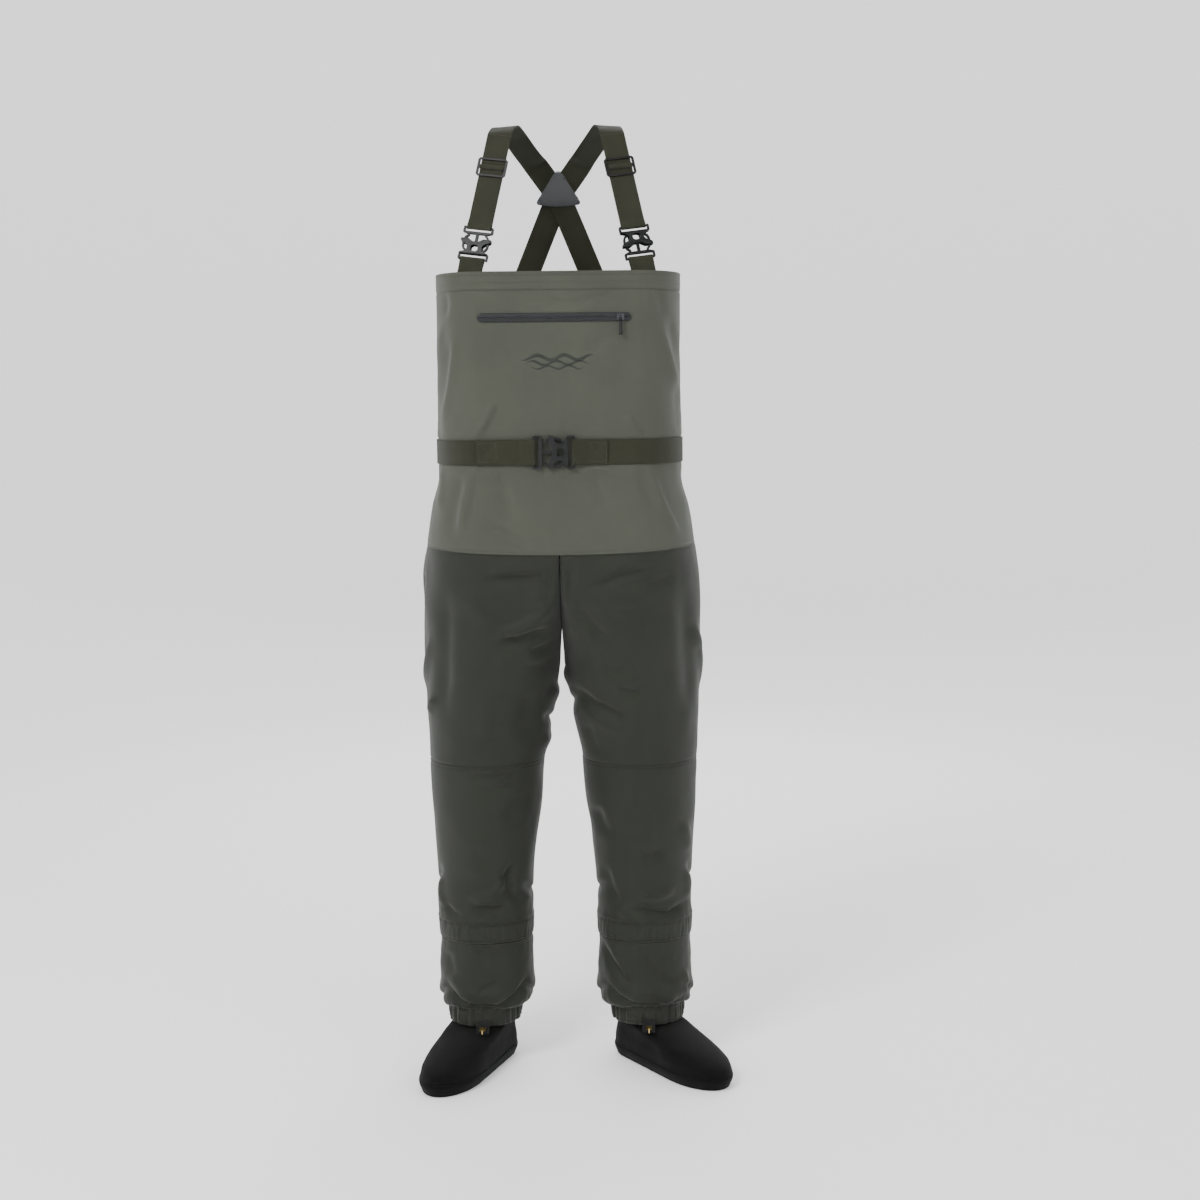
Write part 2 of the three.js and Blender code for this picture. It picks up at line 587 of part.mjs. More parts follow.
function glideFrame() {
  const half = GLIDE.length / 2;
  const slotX = [-(GLIDE.width / 2 - 3.6), GLIDE.width / 2 - 3.6];
  return plate(chamfered([-GLIDE.width / 2, GLIDE.width / 2], [-half, half], 3), GLIDE.thick, [
    rectangle(slotX, [GLIDE.bar / 2, half - GLIDE.rim]),
    rectangle(slotX, [-half + GLIDE.rim, -GLIDE.bar / 2]),
  ], glideCentre);
}

// The webbing arched over the adjuster's middle bar.
function glideArch() {
  const arch = (r, top, c) => [[-r, -GLIDE.thick / 2], [-r, top - c], [-r + c, top],
    [r - c, top], [r, top - c], [r, -GLIDE.thick / 2]];
  const reach = GLIDE.bar / 2 + GAP;
  const rise = GLIDE.thick / 2 + GAP;
  const profile = [...arch(reach + WEBBING, rise + WEBBING, 1.2), ...arch(reach, rise, 0.3).reverse()];
  return runAcross(profile, WEB_WIDTH).translate(0, 0, glideCentre);
}

// The yoke's plane: leaning back over the shoulder blades.
const YOKE_LEAN = THREE.MathUtils.degToRad(16);
const yokeUp = new THREE.Vector3(0, -Math.sin(YOKE_LEAN), Math.cos(YOKE_LEAN));
const yokeOut = new THREE.Vector3(0, yokeUp.z, -yokeUp.y);
const yokeCentre = new THREE.Vector3(0, 106, YOKE_Z);
const YOKE_CROSS = -12;        // where the straps cross, below the plate's centre
const onYoke = (x, up, out = 0) => yokeCentre.clone().addScaledVector(yokeUp, up)
  .addScaledVector(yokeOut, out).setX(x);
const layerStep = WEBBING / 2 + 2.4 * GAP;   // each strap off the yoke's middle plane
const strapBackY = BACK_Y - FABRIC - GAP - layerStep - WEBBING / 2 - GAP;

// A strap ribbon through [point, face normal] stations.
function strapRibbon(route, width, thickness) {
  return ribbon(route.map(([at, normal], i) => {
    const before = route[Math.max(i - 1, 0)][0];
    const after = route[Math.min(i + 1, route.length - 1)][0];
    const direction = after.clone().sub(before).normalize();
    return { at, across: new THREE.Vector3().crossVectors(direction, normal).normalize() };
  }), width, thickness);
}

// Over the shoulder, through the yoke and down inside the back panel.
function shoulderRoute(layer) {
  const v = (x, y, z) => new THREE.Vector3(x, y, z);
  const back = v(0, 1, 0);
  const slope = 0.41;          // sideways drift of the straps per millimetre of drop
  const low = onYoke(-10.3, -35);
  const down = (z) => [v(low.x - slope * (low.z - z), strapBackY, z), back];
  return [
    [upTheStrap(STRAP_SPLIT + GAP), outward],
    [upTheStrap(STRAP_SPLIT + 4), outward],
    [v(83.4, -25, 1473.5), v(0.12, -0.5, 0.86)],
    [v(80.5, -8, 1479.5), v(0.05, -0.15, 1)],
    [v(75, 10, 1480.5), v(0.05, 0.25, 0.97)],
    [v(65, 33, 1467), v(0.1, 0.55, 0.83)],
    [v(52, 58, 1451), v(0.05, 0.66, 0.75)],
    [v(41, 78, 1438), v(0, 0.76, 0.65)],
    [onYoke(33.5, 35), yokeOut],
    [onYoke(30, 30), yokeOut],
    [onYoke(0, YOKE_CROSS), yokeOut],
    [onYoke(-8, -30), yokeOut],
    [onYoke(-10.3, -35), yokeOut],
    down(1330), down(1290), down(HEM_Z - TAB_DEPTH),
  ].map(([at, normal], i) => [
    at.clone().addScaledVector(normal.clone().normalize(), i < 6 ? 0 : layer), normal]);
}

const tabAcross = new THREE.Vector3(0.955, 0.297, 0);
for (const { side, s } of SIDES) {
  const femaleOnTop = s > 0;
  const part = (name, geometry, finish) => add(`${side}_${name}`, onSide(geometry, s), finish);
  const buckle = (geometry) => inStrap(geometry, femaleOnTop ? buckleTop : BUCKLE_ALONG,
    femaleOnTop);

  const tabTail = [
    { at: upTheStrap(lowBar - 14), across },
    { at: upTheStrap(0), across },
    { at: new THREE.Vector3(STRAP_FOOT.x, STRAP_FOOT.y, HEM_Z - 8), across: tabAcross },
    { at: new THREE.Vector3(STRAP_FOOT.x, STRAP_FOOT.y, HEM_Z - TAB_DEPTH), across: tabAcross },
  ];
  part('strap_tab', join(inStrap(barLoop(16, WEBBING), lowBar, true),
    ribbon(tabTail, WEB_WIDTH, 2 * WEBBING)), webbingCloth);
  part('strap_front', inStrap(barLoop(STRAP_SPLIT - highBar, WEBBING / 2), highBar), webbingCloth);
  part('strap_back_layer', inStrap(box([-WEB_WIDTH / 2, WEB_WIDTH / 2],
    [highBar + 17, ADJUSTER_ALONG + 4], [-1.5 * WEBBING - 2 * GAP, -WEBBING / 2 - 2 * GAP]), 0),
  webbingCloth);
  part('shoulder_strap', strapRibbon(shoulderRoute(s * layerStep), WEB_WIDTH, WEBBING),
    webbingCloth);
  part('adjuster', inStrap(glideFrame(), ADJUSTER_ALONG), blackPlastic);
  part('adjuster_loop', inStrap(glideArch(), ADJUSTER_ALONG), webbingCloth);
  part('buckle_female', buckle(femaleBuckle(SHOULDER_BUCKLE)), blackPlastic);
  part('buckle_male', buckle(maleBuckle(SHOULDER_BUCKLE)), blackPlastic);
  part('buckle_outer_arm', buckle(femaleOnTop ? mirrored(buckleArm(SHOULDER_BUCKLE))
    : buckleArm(SHOULDER_BUCKLE)), blackPlastic);
  part('buckle_inner_arm', buckle(femaleOnTop ? buckleArm(SHOULDER_BUCKLE)
    : mirrored(buckleArm(SHOULDER_BUCKLE))), blackPlastic);
}

// ---- Yoke: two riveted plates that hold the straps where they cross ----------------
const yokeFrame = new THREE.Matrix4().makeBasis(new THREE.Vector3(-1, 0, 0), yokeUp, yokeOut)
  .setPosition(yokeCentre);
const EAR = { x: YOKE_WIDTH / 2 - 4, y: -YOKE_HEIGHT / 2 + 7, radius: 4 };
const APEX = { y: YOKE_HEIGHT / 2 - 9, radius: 9 };
const arcPoints = (cx, cy, r, from, to, steps) => Array.from({ length: steps + 1 }, (_, k) => {
  const t = THREE.MathUtils.degToRad(from + ((to - from) * k) / steps);
  return [cx + r * Math.cos(t), cy + r * Math.sin(t)];
});
const yokeOutline = [
  ...arcPoints(EAR.x, EAR.y, EAR.radius, -70, 35, 5),
  ...arcPoints(0, APEX.y, APEX.radius, 35, 145, 7),
  ...arcPoints(-EAR.x, EAR.y, EAR.radius, 145, 250, 5),
  [-20, -YOKE_HEIGHT / 2 + 1.4], [0, -YOKE_HEIGHT / 2], [20, -YOKE_HEIGHT / 2 + 1.4],
];
const rivetSpots = [
  { name: 'top', at: [0, APEX.y + 5] },
  { name: 'left', at: [-EAR.x, EAR.y] },
  { name: 'right', at: [EAR.x, EAR.y] },
];
const RIVET = { shank: 1.4, head: 2.6, rise: 1 };
const plateInner = layerStep + WEBBING / 2 + GAP;
const rivetHoles = rivetSpots.map(({ at: [x, y] }) => (
  arcPoints(x, y, RIVET.shank + GAP, 0, 330, 11)));
for (const [name, turn] of [['yoke_outer_plate', 1], ['yoke_inner_plate', -1]]) {
  add(name, plate(yokeOutline, YOKE_PLATE, rivetHoles, turn * (plateInner + YOKE_PLATE / 2))
    .applyMatrix4(yokeFrame), blackPlastic);
}
const rivetHead = plateInner + YOKE_PLATE + GAP;
const disc = (r, x, y, [z0, z1]) => new THREE.CylinderGeometry(r, r, z1 - z0, 12)
  .rotateX(Math.PI / 2).translate(x, y, (z0 + z1) / 2);
for (const { name, at: [x, y] } of rivetSpots) {
  add(`yoke_rivet_${name}`, join(
    disc(RIVET.shank, x, y, [-rivetHead - 0.5, rivetHead + 0.5]),
    disc(RIVET.head, x, y, [rivetHead, rivetHead + RIVET.rise]),
    disc(RIVET.head, x, y, [-rivetHead - RIVET.rise, -rivetHead]),
  ).applyMatrix4(yokeFrame), { color: 0x2a2b2c, roughness: 0.35, metalness: 0.8 });
}

// ---- Waist belt --------------------------------------------------------------------
const waist = span(BODY, BELT_Z, BELT_Z - 10)[0];
const beltLine = (by) => outline(inset(waist, -by)).map(([x, y]) => [x, y]);
const beltInner = beltLine(BELT_STANDOFF);
const beltOuter = beltLine(BELT_STANDOFF + WEBBING);
const buckleY = FRONT_Y - BELT_STANDOFF - BUCKLE_STACK / 2;
const femaleEnd = BELT_BUCKLE_X + BELT_BUCKLE.length / 2;
const maleEnd = BELT_BUCKLE_X - BELT_BUCKLE.length / 2;
const beltFrame = new THREE.Matrix4().makeBasis(new THREE.Vector3(0, 0, 1),
  new THREE.Vector3(-1, 0, 0), new THREE.Vector3(0, -1, 0)).setPosition(femaleEnd, buckleY, BELT_Z);
const inBelt = (geometry) => geometry.clone().applyMatrix4(beltFrame);
add('belt_buckle_female', inBelt(femaleBuckle(BELT_BUCKLE)), blackPlastic);
add('belt_buckle_male', inBelt(maleBuckle(BELT_BUCKLE)), blackPlastic);
add('belt_buckle_upper_arm', inBelt(buckleArm(BELT_BUCKLE)), blackPlastic);
add('belt_buckle_lower_arm', inBelt(mirrored(buckleArm(BELT_BUCKLE))), blackPlastic);

// A stretch of belt through the outline points first..last, with end points added.
function beltBand(first, last, before, after) {
  const line = (points, by) => [...before(by), ...points.slice(first, last), ...after(by)];
  const outer = line(beltOuter, BELT_STANDOFF + WEBBING);
  const inner = line(beltInner, BELT_STANDOFF);
  return plate([...outer, ...inner.reverse()], WEB_WIDTH).translate(0, 0, BELT_Z);
}

// The loop round a bar, sheared so that its flat tail lies in the line of the belt.
const LOOP_TAIL = 22;
function beltLoop(barX, direction) {
  const inner = BAR + GAP;
  const toBelt = FRONT_Y - BELT_STANDOFF - buckleY;
  const arc = (r) => [90, 120, 150, 180, 210, 240, 270].map((deg) => {
    const t = THREE.MathUtils.degToRad(deg);
    return [r * Math.cos(t), r * Math.sin(t)];
  });
  const wrap = [...arc(inner + WEBBING), [LOOP_TAIL - 6, toBelt - WEBBING],
    [LOOP_TAIL, toBelt - WEBBING], [LOOP_TAIL, toBelt], [6, toBelt]];
  const place = (points) => points.map(([a, b]) => [barX + direction * a, buckleY + b]);
  const turned = (points) => (direction > 0 ? points : [...points].reverse());
  const outside = wrap.map(([a, b], i) => [a, i < 7 ? -b : b]);
  const rim = [...outside.slice(0, 7).reverse(), ...outside.slice(7)];
  return plate(turned(place(rim)), WEB_WIDTH, [turned(place([...arc(inner), [10, 1.2]]))])
    .translate(0, 0, BELT_Z);
}

const quarter = CORNER_STEPS + 1;
const sideX = (by) => -CHEST_HALF_WIDTH - by;
const femaleBar = femaleEnd - BAR;
const maleBar = maleEnd + BAR;
add('belt_webbing', join(
  beltBand(0, 3 * quarter, (by) => [[femaleBar + LOOP_TAIL - 4, FRONT_Y - by]],
    (by) => [[sideX(by), CENTRE_GAP]]),
  beltLoop(femaleBar, 1),
), webbingCloth);
add('belt_front_run', join(
  beltBand(3 * quarter, 4 * quarter, (by) => [[sideX(by), -CENTRE_GAP]],
    (by) => [[maleBar - LOOP_TAIL + 4, FRONT_Y - by]]),
  beltLoop(maleBar, -1),
), webbingCloth);

// One loop at the middle of the back keeps the belt up.
const KEEPER = { half: 8, tall: 27, thick: 1.4 };
const keeperY = BACK_Y + BELT_STANDOFF + WEBBING + GAP;
add('belt_keeper', cut(
  box([-KEEPER.half, KEEPER.half], [BACK_Y + GAP, keeperY + KEEPER.thick],
    [BELT_Z - KEEPER.tall, BELT_Z + KEEPER.tall]),
  box([-KEEPER.half - 1, KEEPER.half + 1], [BACK_Y, keeperY],
    [BELT_Z - WEB_WIDTH / 2 - 1, BELT_Z + WEB_WIDTH / 2 + 1]),
), webbingCloth);

// ---- Lace hooks: a webbing tab sewn to the cuff, with a wire hook at its end ---------
const HOOK_TAB = { width: 20, length: 30, thick: 1.6, lean: 68 };
for (const { side, s } of SIDES) {
  const group = new THREE.Group();
  const lean = THREE.MathUtils.degToRad(HOOK_TAB.lean);
  const middle = (CUFF[0].x[0] + CUFF[0].x[1]) / 2;
  group.position.set(s * middle, CUFF[1].y[0] - 1.4, CUFF_BOTTOM_Z + 9);
  group.rotation.set(-lean, 0, 0);
  object.add(group);
  const half = HOOK_TAB.width / 2;
  add(`${side}_hook_tab`, box([-half, half], [-HOOK_TAB.thick / 2, HOOK_TAB.thick / 2],
    [-HOOK_TAB.length, 2]), blackPlastic, group);
  const wire = 0.9;
  const bend = 3.2;
  const stem = new THREE.CatmullRomCurve3([
    [0, -wire - HOOK_TAB.thick / 2 - 2 * GAP, -HOOK_TAB.length + 9],
    [0, -wire - HOOK_TAB.thick / 2 - 2 * GAP, -HOOK_TAB.length - 3],
    [0, -wire - bend - 1, -HOOK_TAB.length - 6.5],
    [0, -wire - 2 * bend - 1, -HOOK_TAB.length - 2.5],
    [0, -wire - 2 * bend - 1, -HOOK_TAB.length + 1],
  ].map((p) => new THREE.Vector3(...p)));
  const section = new THREE.Shape(arcPoints(0, 0, wire, 0, 315, 7)
    .map(([x, y]) => new THREE.Vector2(x, y)));
  const hook = new THREE.ExtrudeGeometry(section, { steps: 14, extrudePath: stem, bevelEnabled: false });
  const base = box([-5, 5], [-HOOK_TAB.thick / 2 - GAP - 1.2, -HOOK_TAB.thick / 2 - GAP],
    [-HOOK_TAB.length + 5, -HOOK_TAB.length + 13]);
  add(`${side}_lace_hook`, join(hook, base), brass, group);
}

// The origin is the middle of the box's floor.
const bounds = new THREE.Box3().setFromObject(object, true);
object.position.set(-(bounds.min.x + bounds.max.x) / 2, -(bounds.min.y + bounds.max.y) / 2,
  -bounds.min.z);

export default object;
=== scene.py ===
"""Looks of the stockingfoot chest waders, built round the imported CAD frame.

Lengths in the shape code are millimetres in the body frame: x = 0 and y = 0 on the body's axis,
floor at z = 0, front towards -Y. place() turns them into the row frame in metres.
"""

import math

import bmesh
import bpy
import numpy as np
from mathutils import Matrix, Vector, noise
from mathutils.bvhtree import BVHTree


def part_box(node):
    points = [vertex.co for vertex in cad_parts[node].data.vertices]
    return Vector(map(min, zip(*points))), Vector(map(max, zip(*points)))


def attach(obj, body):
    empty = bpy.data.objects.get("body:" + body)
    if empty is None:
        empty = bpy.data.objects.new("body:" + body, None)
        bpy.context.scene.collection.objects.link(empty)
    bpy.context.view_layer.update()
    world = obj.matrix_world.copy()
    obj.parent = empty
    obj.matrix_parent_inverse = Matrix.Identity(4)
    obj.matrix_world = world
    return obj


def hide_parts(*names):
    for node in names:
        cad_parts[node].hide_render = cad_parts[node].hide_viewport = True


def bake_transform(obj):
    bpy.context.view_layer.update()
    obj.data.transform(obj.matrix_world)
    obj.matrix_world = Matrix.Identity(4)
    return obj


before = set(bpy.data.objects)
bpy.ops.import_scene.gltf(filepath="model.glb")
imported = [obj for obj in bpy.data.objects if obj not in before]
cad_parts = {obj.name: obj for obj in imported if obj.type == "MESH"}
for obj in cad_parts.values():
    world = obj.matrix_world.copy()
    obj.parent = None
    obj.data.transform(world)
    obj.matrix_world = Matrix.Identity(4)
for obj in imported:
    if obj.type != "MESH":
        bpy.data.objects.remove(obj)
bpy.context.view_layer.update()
MM = 0.001

bib_low, bib_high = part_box("bib_front")
back_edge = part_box("bib_back")[1].y
AXIS = np.array([(bib_low.x + bib_high.x) / 2, (bib_low.y + back_edge) / 2, 0.0])


def place(points):
    """Body-frame millimetres to row-frame metres."""
    return np.asarray(points, float) * MM + AXIS


def smooth(t):
    t = np.clip(t, 0, 1)
    return t * t * (3 - 2 * t)


def run_along(points):
    """Distance from the first point to each point of a line."""
    steps = np.linalg.norm(np.diff(points, axis=0), axis=1)
    return np.concatenate([[0], np.cumsum(steps)])


def wobble(points, scale, seed=0.0):
    """Smooth noise in -1..1 at each point, with features about scale millimetres across."""
    flat = np.asarray(points, float).reshape(-1, 3) / scale
    values = [noise.noise(Vector((p[0] + seed, p[1] - seed, p[2] + 2 * seed))) for p in flat]
    return np.array(values).reshape(np.asarray(points).shape[:-1])


# ---- Camera, floor and light -------------------------------------------------------------

LENS, SENSOR = 59.0, 36.0
CAMERA_AT = (0.044, -3.075, 1.075)
CAMERA_DOWN, CAMERA_ROLL = 6.1, 0.55          # degrees
LIGHTS = [                                    # name, place, aim, size, power
    ("key", (-1.6, -2.4, 3.0), (0, 0, 0.85), (1.2, 1.2), 100),
    ("fill", (2.2, -2.4, 1.5), (0, 0, 0.8), (1.8, 2.2), 13),
    ("back", (0.3, 2.8, 2.6), (0, 0, 0.9), (2.4, 2.4), 60),
]
FLAT_REACH, SWEEP, WALL_TOP = 3.2, 2.4, 6.5   # floor radius, curve radius and wall height
FLOOR_DROP = 0.0005


def make_camera():
    data = bpy.data.cameras.new("camera")
    data.sensor_width, data.lens, data.clip_end = SENSOR, LENS, 60
    cam = bpy.data.objects.new("camera", data)
    bpy.context.scene.collection.objects.link(cam)
    tilt, roll = math.radians(90 - CAMERA_DOWN), math.radians(CAMERA_ROLL)
    cam.matrix_world = (Matrix.Translation(CAMERA_AT)
                        @ Matrix.Rotation(tilt, 4, "X") @ Matrix.Rotation(-roll, 4, "Z"))
    bpy.context.scene.camera = cam


def area_light(name, at, aim, size, power):
    data = bpy.data.lights.new(name, "AREA")
    data.shape, data.size, data.size_y, data.energy = "RECTANGLE", size[0], size[1], power
    lamp = bpy.data.objects.new(name, data)
    bpy.context.scene.collection.objects.link(lamp)
    direction = Vector(aim) - Vector(at)
    lamp.matrix_world = (Matrix.Translation(at)
                         @ direction.to_track_quat("-Z", "Y").to_matrix().to_4x4())


def make_stage():
    world = bpy.data.worlds.new("studio")
    bpy.context.scene.world = world
    world.use_nodes = True
    world.node_tree.nodes["Background"].inputs["Color"].default_value = (1, 1, 1, 1)
    world.node_tree.nodes["Background"].inputs["Strength"].default_value = 0.8
    for light in LIGHTS:
        area_light(*light)
    # A level floor that curves up all round, far from the object.
    reach, rise = [2.0, FLAT_REACH], [0.0, 0.0]
    for k in range(1, 13):
        turn = math.radians(90 * k / 12)
        reach.append(FLAT_REACH + SWEEP * math.sin(turn))
        rise.append(SWEEP * (1 - math.cos(turn)))
    reach.append(FLAT_REACH + SWEEP)
    rise.append(WALL_TOP)
    spokes = 96
    points = [(r * math.cos(2 * math.pi * k / spokes), r * math.sin(2 * math.pi * k / spokes), z)
              for r, z in zip(reach, rise) for k in range(spokes)]
    faces = [tuple(range(spokes))]
    for row in range(len(reach) - 1):
        for k in range(spokes):
            n = (k + 1) % spokes
            faces.append((row * spokes + k, (row + 1) * spokes + k,
                          (row + 1) * spokes + n, row * spokes + n))
    data = bpy.data.meshes.new("floor")
    data.from_pydata(points, [], faces)
    for polygon in data.polygons:
        polygon.use_smooth = True
    floor = bpy.data.objects.new("floor", data)
    bpy.context.scene.collection.objects.link(floor)
    floor.location.z = -FLOOR_DROP
    mat = bpy.data.materials.new("floor")
    mat.use_nodes = True
    shader = mat.node_tree.nodes["Principled BSDF"]
    shader.inputs["Base Color"].default_value = (0.96, 0.96, 0.96, 1)
    shader.inputs["Emission Color"].default_value = (1, 1, 1, 1)
    shader.inputs["Emission Strength"].default_value = 0.18
    shader.inputs["Roughness"].default_value = 0.9
    floor.data.materials.append(mat)


make_camera()
make_stage()


# ---- Materials ---------------------------------------------------------------------------

class Nodes:
    """A short way to write one material's node graph. Numbers and sockets both feed inputs."""

    def __init__(self, name):
        self.material = bpy.data.materials.new(name)
        self.material.use_nodes = True
        self.tree = self.material.node_tree
        self.shader = self.tree.nodes["Principled BSDF"]

    def node(self, kind, inputs=(), **settings):
        made = self.tree.nodes.new(kind)
        for key, value in settings.items():
            setattr(made, key, value)
        for key, value in dict(inputs).items():
            if isinstance(value, bpy.types.NodeSocket):
                self.tree.links.new(value, made.inputs[key])
            else:
                made.inputs[key].default_value = value
        return made

    def math(self, operation, a, b=0.0, c=0.0):
        return self.node("ShaderNodeMath", {0: a, 1: b, 2: c}, operation=operation).outputs[0]

    def coords(self):
        return self.node("ShaderNodeTexCoord").outputs["Object"]

    def noise(self, scale, detail=3.0):
        inputs = {"Scale": scale, "Detail": detail, "Roughness": 0.5, "Vector": self.coords()}
        return self.node("ShaderNodeTexNoise", inputs).outputs["Fac"]

    def ramp(self, fac, stops):
        made = self.node("ShaderNodeValToRGB", {"Fac": fac})
        while len(made.color_ramp.elements) < len(stops):
            made.color_ramp.elements.new(0.5)
        for element, (at, colour) in zip(made.color_ramp.elements, stops):
            element.position, element.color = at, (*colour, 1)
        return made.outputs["Color"]

    def mix(self, fac, a, b):
        made = self.node("ShaderNodeMix", data_type="RGBA")
        for key, value in ((0, fac), (6, a), (7, b)):
            if isinstance(value, bpy.types.NodeSocket):
                self.tree.links.new(value, made.inputs[key])
            else:
                made.inputs[key].default_value = value
        return made.outputs[2]

    def attribute(self, name):
        return self.node("ShaderNodeAttribute", attribute_name=name).outputs["Fac"]

    def finish(self, colour, rough, height=None, bump=0.2, distance=0.0004, **constants):
        self.tree.links.new(colour, self.shader.inputs["Base Color"])
        self.tree.links.new(rough, self.shader.inputs["Roughness"])
        if height is not None:
            normal = self.node("ShaderNodeBump", {"Height": height, "Strength": bump,
                                                  "Distance": distance}).outputs[0]
            self.tree.links.new(normal, self.shader.inputs["Normal"])
        for key, value in constants.items():
            self.shader.inputs[key.replace("_", " ")].default_value = value
        return self.material


def srgb(r, g, b):
    """A colour given in 0-255 display values, as linear."""
    return tuple((c / 255 / 12.92) if c <= 10 else ((c / 255 + 0.055) / 1.055) ** 2.4
                 for c in (r, g, b))


def shade(colour, by):
    return tuple(c * by for c in colour)


def weave(n, pitch):
    """Plain weave height in 0..1 from the UV map, which is in millimetres."""
    uv = n.node("ShaderNodeUVMap", uv_map="cloth").outputs[0]
    split = n.node("ShaderNodeSeparateXYZ", {0: uv})
    wave = [n.math("SINE", n.math("MULTIPLY", split.outputs[k], 2 * math.pi / pitch[k]))
            for k in (0, 1)]
    crossed = n.math("MULTIPLY", wave[0], wave[1])
    return n.math("MULTIPLY_ADD", crossed, 0.5, 0.5)


def cloth_material(name, colour, rough, soil=0.10):
    """Coated laminate: fine weave with a painted highlight on its raised threads, faint mottling, and
    darker seams and stitch holes, which on the ankle cuffs come with painted shade in the gather valleys,
    all from one point attribute.
    """
    n = Nodes(name)
    height = weave(n, (1.1, 1.1))
    blotch = n.noise(9.0, 4.0)
    fine = n.noise(420.0, 2.0)
    base = n.ramp(blotch, [(0.30, shade(colour, 1 - soil)), (0.70, shade(colour, 1 + soil))])
    grain = n.mix(n.math("MULTIPLY", fine, 0.28), base, (*shade(colour, 0.78), 1))
    # Painted highlight: the colour is lighter on the raised threads of the weave.
    thread_highlight = n.mix(n.math("MULTIPLY", height, 0.10), grain, (*shade(colour, 1.35), 1))
    seam = n.mix(n.math("MULTIPLY", n.attribute("seam"), 0.55), thread_highlight,
                 (*shade(colour, 0.35), 1))
    surface = n.math("ADD", n.math("MULTIPLY", height, 0.55), n.math("MULTIPLY", fine, 0.45))
    roughness = n.math("MULTIPLY_ADD", blotch, 0.12, rough - 0.06)
    return n.finish(seam, roughness, surface, 0.35, 0.00025, Sheen_Weight=0.10,
                    Sheen_Roughness=0.5, Specular_IOR_Level=0.16)


def webbing_material(name, colour):
    """Ribbed webbing: a herringbone of fine ribs across the strap, painted shade in the valleys between
    the ribs, and a plain selvedge.
    """
    n = Nodes(name)
    uv = n.node("ShaderNodeUVMap", uv_map="cloth").outputs[0]
    split = n.node("ShaderNodeSeparateXYZ", {0: uv})
    across, along = split.outputs[0], split.outputs[1]
    ribs = n.math("SINE", n.math("MULTIPLY", along, 2 * math.pi / 1.25))
    twill = n.math("SINE", n.math("MULTIPLY", n.math("ADD", across, n.math("MULTIPLY", along, 0.5)),
                                  2 * math.pi / 1.7))
    height = n.math("MULTIPLY_ADD", n.math("ADD", ribs, twill), 0.25, 0.5)
    fuzz = n.noise(700.0, 3.0)
    blotch = n.noise(24.0, 3.0)
    base = n.ramp(blotch, [(0.3, shade(colour, 0.86)), (0.72, shade(colour, 1.16))])
    # Painted shade: the colour darkens in the low valleys between the ribs.
    low = n.mix(n.math("MULTIPLY", n.math("SUBTRACT", 1.0, height), 0.55), base,
                (*shade(colour, 0.45), 1))
    pale = n.mix(n.math("MULTIPLY", fuzz, 0.22), low, (*shade(colour, 1.7), 1))
    seam = n.mix(n.math("MULTIPLY", n.attribute("seam"), 0.6), pale, (*shade(colour, 0.35), 1))
    surface = n.math("ADD", n.math("MULTIPLY", height, 0.8), n.math("MULTIPLY", fuzz, 0.3))
    roughness = n.math("MULTIPLY_ADD", fuzz, 0.15, 0.74)
    return n.finish(seam, roughness, surface, 0.6, 0.0005, Sheen_Weight=0.10,
                    Sheen_Roughness=0.45, Specular_IOR_Level=0.15)


def moulded_material(name, colour, rough, grain=0.25, coat=0.0, metallic=0.0):
    """Moulded plastic or metal: fine texture, scuffs, and lighter worn edges."""
    n = Nodes(name)
    fine = n.noise(900.0, 2.0)
    patches = n.noise(55.0, 5.0)
    worn = n.math("MULTIPLY", n.math("GREATER_THAN", n.node(
        "ShaderNodeNewGeometry").outputs["Pointiness"], 0.56), patches)
    base = n.ramp(patches, [(0.3, shade(colour, 0.8)), (0.75, shade(colour, 1.25))])
    edged = n.mix(n.math("MULTIPLY", worn, 0.5), base, (*shade(colour, 1.8), 1))
    roughness = n.math("MULTIPLY_ADD", patches, 0.22, rough - 0.11)
    return n.finish(edged, roughness, fine, grain, 0.0002, Metallic=metallic,
                    Coat_Weight=coat, Coat_Roughness=0.12, Specular_IOR_Level=0.28)


def neoprene_material(name, colour, pitch):
    """Knit-faced neoprene: tiny stitches, a soft bloom and little gloss."""
    n = Nodes(name)
    height = weave(n, pitch)
    fuzz = n.noise(600.0, 3.0)
    blotch = n.noise(16.0, 4.0)
    base = n.ramp(blotch, [(0.3, shade(colour, 0.8)), (0.75, shade(colour, 1.3))])
    pale = n.mix(n.math("MULTIPLY", fuzz, 0.35), base, (*shade(colour, 2.0), 1))
    seam = n.mix(n.math("MULTIPLY", n.attribute("seam"), 0.7), pale, (*shade(colour, 0.3), 1))
    surface = n.math("ADD", height, n.math("MULTIPLY", fuzz, 0.5))
    roughness = n.math("MULTIPLY_ADD", blotch, 0.10, 0.82)
    return n.finish(seam, roughness, surface, 0.4, 0.0004, Sheen_Weight=0.03,
                    Sheen_Roughness=0.6, Specular_IOR_Level=0.1)


